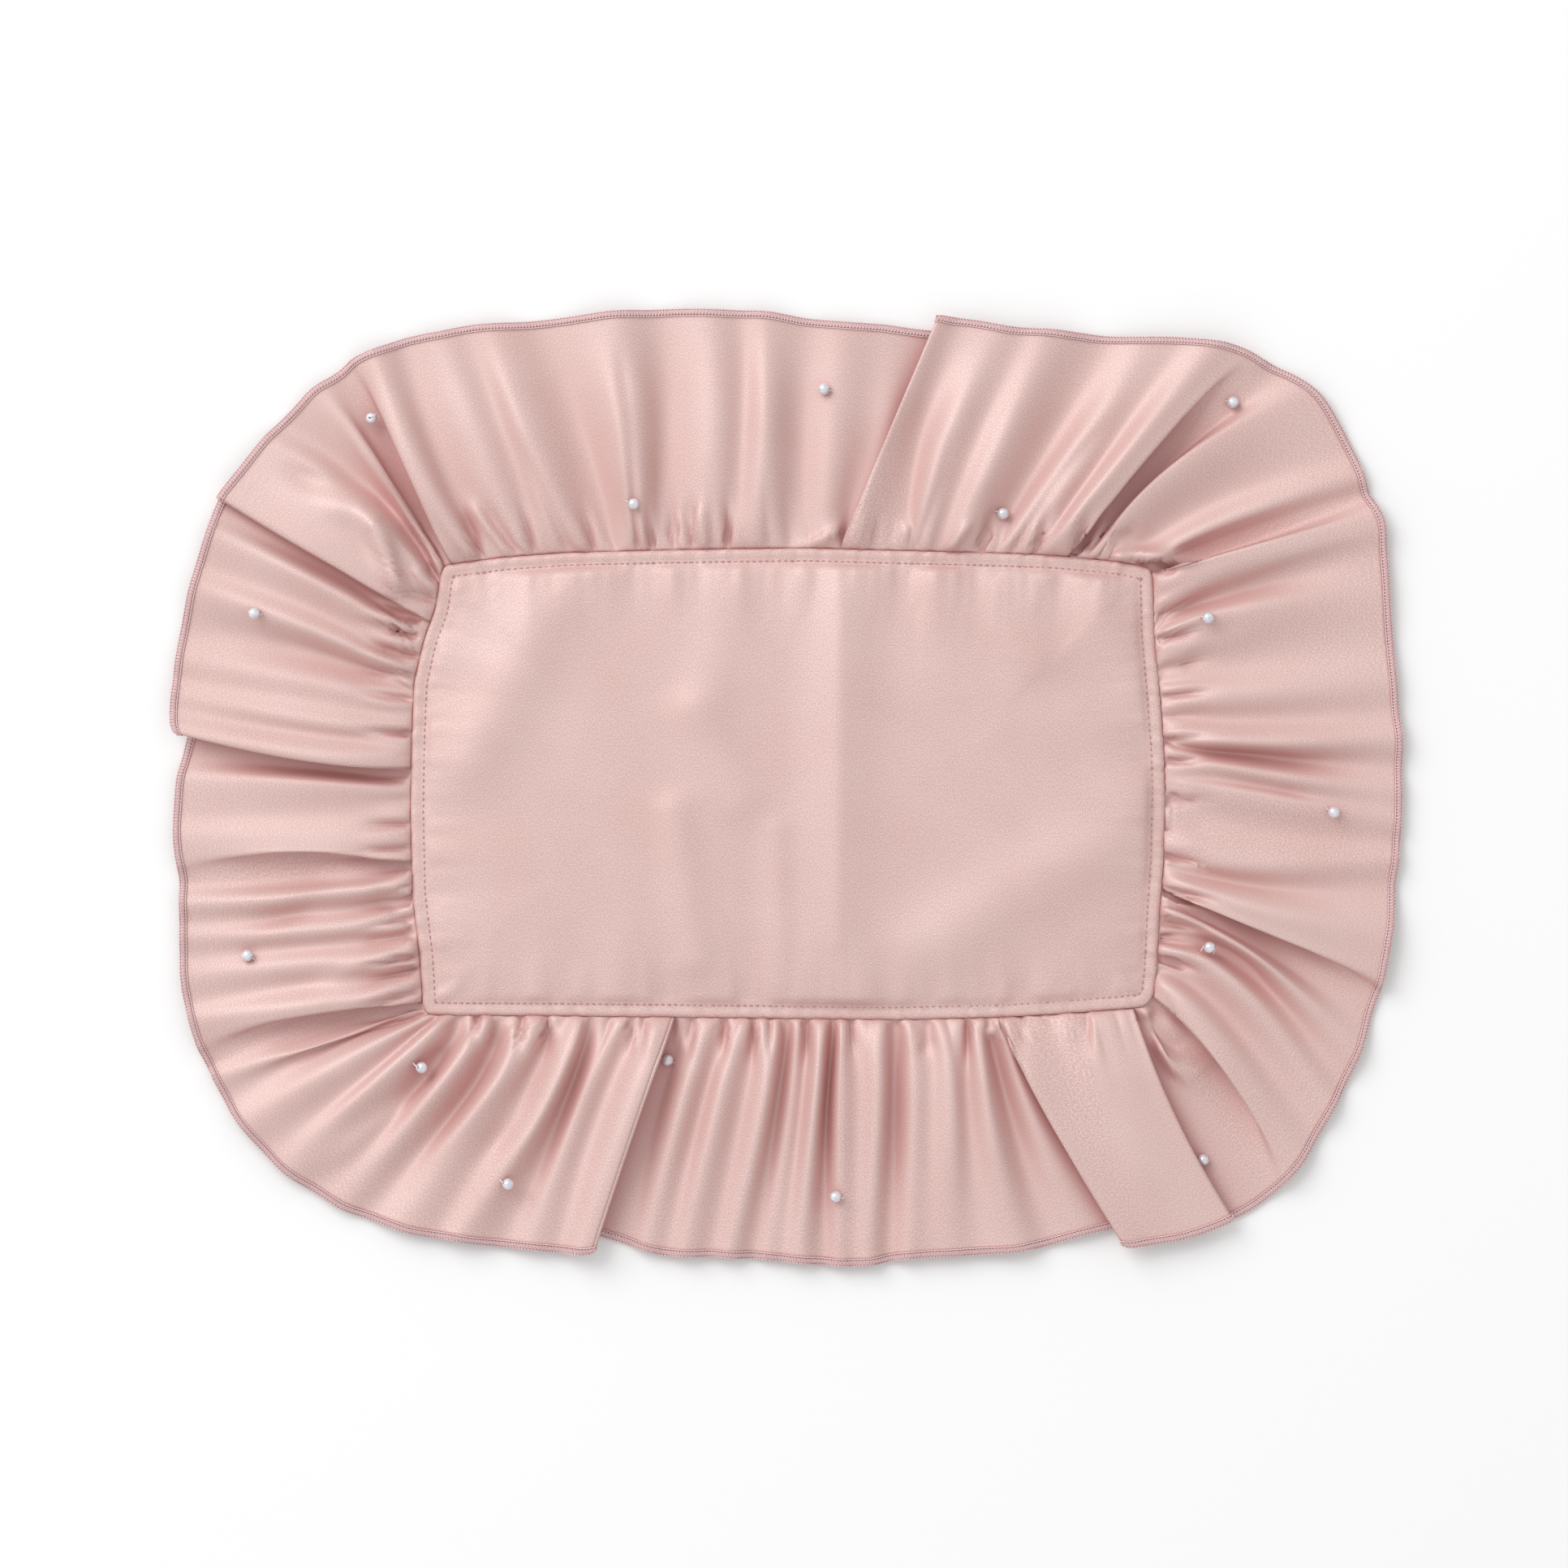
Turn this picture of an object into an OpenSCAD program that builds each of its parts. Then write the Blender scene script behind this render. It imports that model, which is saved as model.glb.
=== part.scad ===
// Ring bearer pillow: a thin satin mat with a gathered satin ruffle sewn all round it.
// The origin is the middle of the underside, +X along the long side, +Z out of the front.
// Around the mat, places are a bearing in degrees, counted from +X towards +Y on the mat's
// own proportions, and an outward share: 0 at the mat's sewn edge, 1 at the ruffle's hem.

/* [Whole piece] */
// Length from hem to hem
overall_length = 422; // [400:1:450]
// Width from hem to hem
overall_width = 328; // [310:1:350]
// Squareness of the hem's outline (2 is an ellipse)
hem_squareness = 4; // [3:0.1:5]

/* [Mat] */
// Length of the mat at the middle of its bulging ends
mat_length = 257; // [240:1:275]
// Width of the mat at the middle of its bulging sides
mat_width = 163; // [150:1:175]
// Squareness of the mat's outline
mat_squareness = 9; // [6:0.5:12]
// Rise of the front over the wadding, above the mat's flat rim
crown = 4; // [2:0.5:6]
// Width of the flat rim before the front starts to rise
rim_width = 12; // [11:0.5:16]

/* [Cloth and thread] */
// Thickness of one layer of satin
cloth = 0.4; // [0.3:0.05:0.5]
// Width of the seam allowance turned in all round
allowance = 9; // [7:0.5:10]
// Distance of the topstitching from the mat's edge
topstitch_inset = 4; // [3:0.5:6]
// Thickness of the sewing thread
thread = 0.5; // [0.4:0.05:0.6]
// Width of the overlocked rolled hem
hem_width = 2.1; // [1.6:0.1:2.4]

/* [Ruffle] */
// Thickness of the gathers squeezed between front and back
gathered_thickness = 1.2; // [1:0.1:1.6]
// Number of folds all round
folds = 30; // [24:1:36]
// Height of the tallest folds
fold_height = 11; // [6:0.5:13]
// Bearing of the join between the two strips at the top
top_join = 78; // [60:2:120]
// Bearing of the join between the two strips at the bottom
bottom_join = 252; // [240:2:300]

/* [Pearls] */
// Diameter of a pearl bead
pearl_size = 4; // [3:0.5:5]
// Diameter of the hole through a bead
pearl_hole = 0.9; // [0.8:0.1:1.2]
// Thickness of the thread that holds a bead
pearl_thread_size = 0.4; // [0.3:0.05:0.5]

/* [Hidden] */
// Where the beads are sewn, scattered by eye over the ruffle: across, up
PEARLS_AT = [
    [-140, 127], [13, 136], [152, 132], [-53, 97], [73, 94],
    [-181, 60], [143, 58], [186, -8], [-184, -58], [143, -56],
    [-126, -94], [-41, -93], [-96, -134], [17, -139], [142, -127]
];

function numbered(name) = [for (i = [1 : len(PEARLS_AT)]) str(name, i < 10 ? "_0" : "_", i)];
PEARLS = numbered("pearl");
PEARL_THREADS = numbered("pearl_thread");

satin_pink = "#d9b4ae";
thread_pink = "#cfa3a0";
hem_pink = "#c4939a";
wadding_white = "#f2efe8";
pearl_white = "#f4f1ee";

gap = 0.05;
fold_steps = 6;
around = folds * fold_steps;
rim_bearings = [for (i = [0 : around - 1]) 360 * i / around];
loop_bearings = [for (i = [0 : 95]) 360 * i / 96];

// Heights of the layers at the mat's edge, from the underside up
allowance_low = cloth;
gather_low = 2 * cloth + gap;
gather_mid = gather_low + gathered_thickness / 2;
rim_low = gather_low + gathered_thickness + gap;
rim_top = rim_low + 2 * cloth;
hem_mid = hem_width / 2 + 0.3;

// Outline: a superellipse, given as its reach from the middle in the direction of a bearing
function heading(bearing) = atan2(mat_width * sin(bearing), mat_length * cos(bearing));
function reach(angle, length, width, squareness) =
    pow(pow(abs(cos(angle)) * 2 / length, squareness)
        + pow(abs(sin(angle)) * 2 / width, squareness), -1 / squareness);
function mat_reach(angle) = reach(angle, mat_length, mat_width, mat_squareness);
function hem_reach(angle) = reach(angle, overall_length, overall_width, hem_squareness);

// A point of the mat's outline moved in by an inset
function mat_point(bearing, inset) =
    let (angle = heading(bearing), r = mat_reach(angle) - inset)
    [r * cos(angle), r * sin(angle)];
function mat_outline(inset) = [for (b = rim_bearings) mat_point(b, inset)];

// The ruffle's middle surface. Folds are raised cosines along the bearing, uneven in height,
// that grow from nothing at the mat to their full height and drop a little at the hem.
function fold_rise(bearing) =
    (0.62 + 0.22 * sin(3 * bearing + 40) + 0.16 * cos(7 * bearing))
    * (0.5 - 0.5 * cos(folds * bearing));
function fold_share(out) = out <= 0 ? 0 : sin(118 * out);
function ruffle_height(bearing, out) =
    gather_mid + (hem_mid - gather_mid) * max(0, out)
    + fold_height * fold_rise(bearing) * fold_share(out);
function ruffle_point(bearing, out) =
    let (angle = heading(bearing), low = mat_reach(angle))
    let (r = low + (hem_reach(angle) - hem_width / 2 - low) * out)
    [r * cos(angle), r * sin(angle), ruffle_height(bearing, out)];

// Faces of a closed skin over a grid of points: rows of equal length, first row to last
function grid_faces(rows, columns) = [
    for (r = [0 : rows - 2], c = [0 : columns - 2])
        let (a = r * columns + c)
        each [[a, a + 1, a + columns + 1], [a, a + columns + 1, a + columns]]
];

// A tube along a path that lies nearly level: rings of points square to the path in plan
module tube(path, size, sides, closed) {
    n = len(path);
    function ahead(i) = closed ? path[(i + 1) % n] : path[min(i + 1, n - 1)];
    function behind(i) = closed ? path[(i + n - 1) % n] : path[max(i - 1, 0)];
    function side(i) = let (d = ahead(i) - behind(i)) [d[1], -d[0], 0] / norm([d[0], d[1]]);
    rings = [
        for (i = [0 : n - 1], k = [0 : sides - 1])
            let (a = 360 * (k + 0.5) / sides)
            path[i] + size / 2 * (cos(a) * side(i) + sin(a) * [0, 0, 1])
    ];
    walls = [
        for (i = [0 : (closed ? n : n - 1) - 1], k = [0 : sides - 1])
            let (a = i * sides, b = ((i + 1) % n) * sides, m = (k + 1) % sides)
            each [[a + k, b + m, a + m], [a + k, b + k, b + m]]
    ];
    ends = closed ? [] : [
        [for (k = [0 : sides - 1]) k],
        [for (k = [sides - 1 : -1 : 0]) (n - 1) * sides + k]
    ];
    polyhedron(points = rings, faces = concat(walls, ends));
}

// A level loop of thread inside the mat's outline
module mat_loop(inset, height, size) {
    tube([for (b = loop_bearings) [each mat_point(b, inset), height]], size, 6, true);
}

// A flat ring of cloth just inside the mat's outline, as the turned-in seam allowance lies
module turned_in(height) {
    translate([0, 0, height]) linear_extrude(cloth) difference() {
        polygon(mat_outline(0));
        polygon(mat_outline(allowance));
    }
}

// A dome over the mat: its height falls from the crown to the rim as a cosine of the share
dome_shares = [0, 0.2, 0.4, 0.55, 0.7, 0.8, 0.9, 1];
function dome_points(inset, low, rise) = [
    for (s = dome_shares, b = loop_bearings)
        [each (s * mat_point(b, inset)), low + rise * (0.5 + 0.5 * cos(180 * s * s))]
];

// A closed solid between two stacks of rings of the same shares, lower and upper, joined at
// the outer ring. Each stack's first ring is drawn together into one point in the middle.
module between_domes(lower, upper) {
    n = len(loop_bearings);
    rows = len(dome_shares);
    count = rows * n;
    skin = [
        for (r = [1 : rows - 2], c = [0 : n - 1])
            let (a = r * n + c, b = r * n + (c + 1) % n)
            each [[a, a + n, b + n], [a, b + n, b]]
    ];
    cap = [for (c = [0 : n - 1]) [0, n + c, n + (c + 1) % n]];
    flipped = [for (f = concat(skin, cap)) [f[2] + count, f[1] + count, f[0] + count]];
    wall = [
        for (c = [0 : n - 1])
            let (a = (rows - 1) * n + c, b = (rows - 1) * n + (c + 1) % n)
            each [[a, a + count, b + count], [a, b + count, b]]
    ];
    polyhedron(points = concat(lower, upper), faces = concat(skin, cap, flipped, wall));
}

// Satin front: a thin dome over the wadding, its flat rim and its turned-in allowance
module front_panel() {
    color(satin_pink) {
        between_domes(dome_points(rim_width, rim_low + cloth, crown),
                      dome_points(rim_width, rim_top, crown));
        translate([0, 0, rim_low + cloth]) linear_extrude(cloth) difference() {
            polygon(mat_outline(0));
            polygon([for (b = loop_bearings) mat_point(b, rim_width)]);
        }
        turned_in(rim_low);
    }
}

// Satin back: flat, with its allowance turned in on top of it
module back_panel() {
    color(satin_pink) {
        linear_extrude(cloth) polygon(mat_outline(0));
        turned_in(allowance_low);
    }
}

// Thin sheet of wadding that fills the mat between the seam allowances
module wadding() {
    color(wadding_white)
        between_domes([for (p = dome_points(rim_width, 0, 0)) [p[0], p[1], cloth + gap]],
                      dome_points(rim_width, rim_low + cloth - gap, crown));
}

// One gathered strip: a thin skin of cloth between two joins, from its gathered edge inside
// the mat out to its hem. The gathers are thicker than the cloth that hangs free.
ruffle_rows = [
    [0.0, gathered_thickness / 2], [0.07, cloth / 2], [0.25, cloth / 2], [0.45, cloth / 2],
    [0.65, cloth / 2], [0.83, cloth / 2], [1.0, cloth / 2]
];
function strip_sheet(bearings, side) = concat(
    [for (b = bearings) [each mat_point(b, allowance),
                         gather_mid + side * gathered_thickness / 2]],
    [for (row = ruffle_rows, b = bearings)
        ruffle_point(b, row[0]) + side * [0, 0, row[1]]]
);
module ruffle_strip(from, to) {
    spans = round((to - from) * around / 360);
    bearings = [for (i = [0 : spans]) from + (to - from) * i / spans];
    columns = len(bearings);
    rows = len(ruffle_rows) + 1;
    count = rows * columns;
    under = grid_faces(rows, columns);
    over = [for (f = under) [f[2] + count, f[1] + count, f[0] + count]];
    border = concat(
        [for (c = [0 : columns - 2]) [c, c + 1]],
        [for (r = [0 : rows - 2]) [(r + 1) * columns - 1, (r + 2) * columns - 1]],
        [for (c = [columns - 1 : -1 : 1]) [(rows - 1) * columns + c,
                                           (rows - 1) * columns + c - 1]],
        [for (r = [rows - 1 : -1 : 1]) [r * columns, (r - 1) * columns]]
    );
    edges = [for (e = border) each [[e[1], e[0], e[0] + count], [e[1], e[0] + count,
                                                                e[1] + count]]];
    polyhedron(points = concat(strip_sheet(bearings, -1), strip_sheet(bearings, 1)),
               faces = concat(under, over, edges));
}
module ruffle_strip_left() {
    color(satin_pink) ruffle_strip(top_join, bottom_join);
}
module ruffle_strip_right() {
    color(satin_pink) ruffle_strip(bottom_join, top_join + 360);
}

// Running thread that draws the ruffle up, lying in the gathers
module gathering_thread() {
    color(thread_pink) mat_loop(allowance - 3, gather_mid, thread);
}

// Seam that joins front, ruffle and back, just inside the mat's edge
module assembly_seam_thread() {
    color(thread_pink) mat_loop(1, gather_mid, thread);
}

// Topstitching: the needle thread lies on the front, the bobbin thread in the back
module topstitch_needle_thread() {
    color(thread_pink) mat_loop(topstitch_inset, rim_top + thread / 2, thread);
}
module topstitch_bobbin_thread() {
    color(thread_pink) mat_loop(topstitch_inset, thread / 2, thread);
}

// Short seams that join the two ruffle strips, one under each join
module strip_join_thread() {
    color(thread_pink)
        for (b = [top_join, bottom_join])
            tube([for (row = ruffle_rows) if (row[0] > 0)
                  ruffle_point(b, row[0] * 0.95) - [0, 0, (cloth + thread) / 2]],
                 thread, 6, false);
}

// Overlock thread wrapped round the rolled hem, as one cord
module hem_overlock_thread() {
    color(hem_pink)
        tube([for (b = rim_bearings)
              let (angle = heading(b), r = hem_reach(angle) - hem_width / 2)
              [r * cos(angle), r * sin(angle), ruffle_height(b, 1)]],
             hem_width, 6, true);
}

// Bearing and outward share of a place on the ruffle, from its distance across and up
function bearing_at(at) = atan2(at[1] / mat_width, at[0] / mat_length);
function share_at(at) =
    let (angle = heading(bearing_at(at)), low = mat_reach(angle))
    (norm(at) - low) / (hem_reach(angle) - hem_width / 2 - low);
function cloth_height(at) = ruffle_height(bearing_at(at), share_at(at));

// A bead resting on the ruffle, its hole level and each bead turned a little further
module on_ruffle(i) {
    translate([each PEARLS_AT[i], cloth_height(PEARLS_AT[i]) + cloth / 2])
        rotate([0, 0, 50 * i]) children();
}
module pearl(i) {
    color(pearl_white) on_ruffle(i) translate([0, 0, pearl_size / 2]) rotate([0, 90, 0])
        rotate_extrude($fn = 48) difference() {
            intersection() {
                circle(d = pearl_size, $fn = 48);
                translate([0, -pearl_size]) square(2 * pearl_size);
            }
            translate([0, -pearl_size]) square([pearl_hole / 2, 2 * pearl_size]);
        }
}

// The stitch that holds a bead, drawn square in section: through its hole, down past both
// ends and through the cloth to a knot on the underside
module pearl_thread(i) {
    half = pearl_size / 2 + gap;
    low = -cloth - gap;
    knot = 1;
    color(thread_pink) on_ruffle(i) {
        rotate([90, 0, 0])
            linear_extrude(pearl_thread_size, center = true) difference() {
                translate([-half - pearl_thread_size, low - pearl_thread_size])
                    square([2 * (half + pearl_thread_size),
                            pearl_size / 2 - low + 1.5 * pearl_thread_size]);
                translate([-half, low])
                    square([2 * half, pearl_size / 2 - low - pearl_thread_size / 2]);
            }
        translate([0, 0, low - pearl_thread_size])
            cylinder(d = knot, h = pearl_thread_size, $fn = 24);
    }
}

front_panel();
back_panel();
wadding();
ruffle_strip_left();
ruffle_strip_right();
gathering_thread();
assembly_seam_thread();
strip_join_thread();
topstitch_needle_thread();
topstitch_bobbin_thread();
hem_overlock_thread();
for (i = [0 : len(PEARLS) - 1]) pearl(i);
for (i = [0 : len(PEARLS) - 1]) pearl_thread(i);
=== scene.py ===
import math

import bpy
import numpy as np
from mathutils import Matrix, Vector


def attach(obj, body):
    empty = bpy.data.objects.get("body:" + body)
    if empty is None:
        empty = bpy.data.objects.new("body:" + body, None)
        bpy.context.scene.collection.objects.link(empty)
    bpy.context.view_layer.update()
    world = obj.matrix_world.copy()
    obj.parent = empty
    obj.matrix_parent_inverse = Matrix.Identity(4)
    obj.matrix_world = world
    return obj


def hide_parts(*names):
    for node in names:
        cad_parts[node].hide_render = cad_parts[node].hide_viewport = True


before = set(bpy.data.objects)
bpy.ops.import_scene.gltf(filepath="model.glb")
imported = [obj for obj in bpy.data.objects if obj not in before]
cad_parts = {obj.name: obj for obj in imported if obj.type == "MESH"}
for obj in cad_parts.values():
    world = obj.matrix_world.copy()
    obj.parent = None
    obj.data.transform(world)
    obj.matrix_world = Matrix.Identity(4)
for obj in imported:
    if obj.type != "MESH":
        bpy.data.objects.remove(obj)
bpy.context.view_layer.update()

# Sizes are in millimetres while a shape is worked out, and become metres in new_mesh().
MM = 0.001
STEP = 0.5  # between the points of the seam's and the hem's outlines
SEAM_ROUNDING = 0.8
HEM_ROUNDING = 3

# the satin and the mat
CLOTH = 0.3
SEAM_HEIGHT = 1.6  # where the ruffle is caught between the panels
RIM_TOP = 2.6
CROWN = 3.2  # how far the front's middle stands above its rim
CROWN_REACH = 16
FLANGE = 4.0  # from the sewn edge in to the topstitching
GROOVE_DEPTH = 0.55
GROOVE_HALF = 0.9
PANEL_FLAT = (0.275, 0.181)  # metres
PADDING_INSET = 5.5
PADDING_FULL = 7.0  # from the sewn edge in to where the pad is at its full thickness
PADDING_ROUND = 1.6
PADDING_FLOOR = 0.7
PADDING_GAP = 1.2  # from the pad's top up to the front's middle surface

# the ruffle as cloth
RUFFLE_WIDTH = 84.0
RUFFLE_FLAT = (0.70, 0.098)  # metres
RUFFLE_COLUMN = 1.3
RUFFLE_ROW = 1.4
STRIP_JOINS = ((50.5, 161.3), (-65.5, -158.5))  # where on the hem: across, up
FLOOR = 0.35
FOLD_LIFT = 1.3  # the laid folds are this much taller, because they sink as they settle
LAYER_GAP = 1.2  # between the middles of two layers that touch
PAIR_MARGIN = 1.0  # pairs are looked for this much further out than the gap
PAIR_TURNS = 6  # from one search for pairs to the next
GRAVITY = 0.004
FASTEST = 0.3  # the most that a point carries on in one round
CARRIED_ON = 0.9
SETTLE_TURNS = 200

# hem, threads and pearls
HEM_WIDTH = 2.1
HEM_INSET = 1.5  # from the outline in to the cloth's edge
HEM_THICKNESS = 1.1
HEM_SHIFT = 0.2  # the roll's middle lies this far outside the cloth's edge
HEM_FLOOR = 0.03
HEM_SIDES = 8
OVERLOCK_PITCH = 1.1
OVERLOCK_RADIUS = 0.27
CHAIN_RADIUS = 0.24
STITCH_PITCH = 2.15
STITCH_LENGTH = 0.8  # as a share of the pitch
STITCH_RADIUS = 0.27
SEAM_THREAD_RADIUS = 0.22
JOIN_THREAD_RADIUS = 0.15
BEAD_THREAD_RADIUS = 0.2
PEARL = 4.0
PEARL_BORE = 0.9
PEARL_FOOT = 1.6  # a pearl stands on the cloth within this distance
PEARL_SIDES = 24
THREAD_SIDES = 5

# The mat's sewn edge, clockwise from its top left corner: across, up.
SEAM_POINTS = [
    (-117, 76), (-97, 78.6), (-75, 80.2), (-47, 80.9), (-20, 81.4), (8, 81.7),
    (36, 80.9), (64, 80.3), (91, 79.3), (114, 77), (123.8, 74.8), (124.6, 71),
    (125, 53), (127, 31), (128.4, 11), (128.7, -3), (128.2, -25), (126.8, -44),
    (126, -61), (124.9, -71), (121.5, -74.6), (100, -76.4), (75, -78), (36, -78.9),
    (-20, -78.2), (-75, -77.6), (-112, -77.4), (-122.5, -77.2), (-124.4, -75),
    (-125.4, -58), (-128, -36), (-128.6, -8), (-128.3, 14), (-127.4, 36),
    (-124.2, 50), (-120.2, 61), (-118.6, 72),
]
# The ruffle's hem as a smooth outline, clockwise from the top left.
HEM_POINTS = [
    (-150, 147), (-128, 154.5), (-106, 159), (-72, 161), (-39, 163.9), (-6, 163.2),
    (17, 159.8), (45, 158.5), (61, 160), (83, 157), (117, 154.4), (150, 153.2),
    (172, 145), (184, 134), (194, 116), (201, 101), (205, 88), (207, 56), (210.2, 11),
    (209.9, -11), (207, -45), (202.5, -68), (198, -89), (189, -111), (177, -133),
    (161, -145), (135, -154), (117, -156.5), (94, -157), (72, -160), (28, -163.6),
    (-6, -161.5), (-39, -160.3), (-72, -159.5), (-106, -156), (-128, -152.5),
    (-150, -146), (-172, -132.5), (-191, -111), (-202, -89), (-207.4, -67),
    (-208, -40), (-210, -11), (-209, 5), (-211, 24), (-208, 48), (-204.5, 67),
    (-198, 89), (-193.5, 101), (-177, 122),
]
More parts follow.
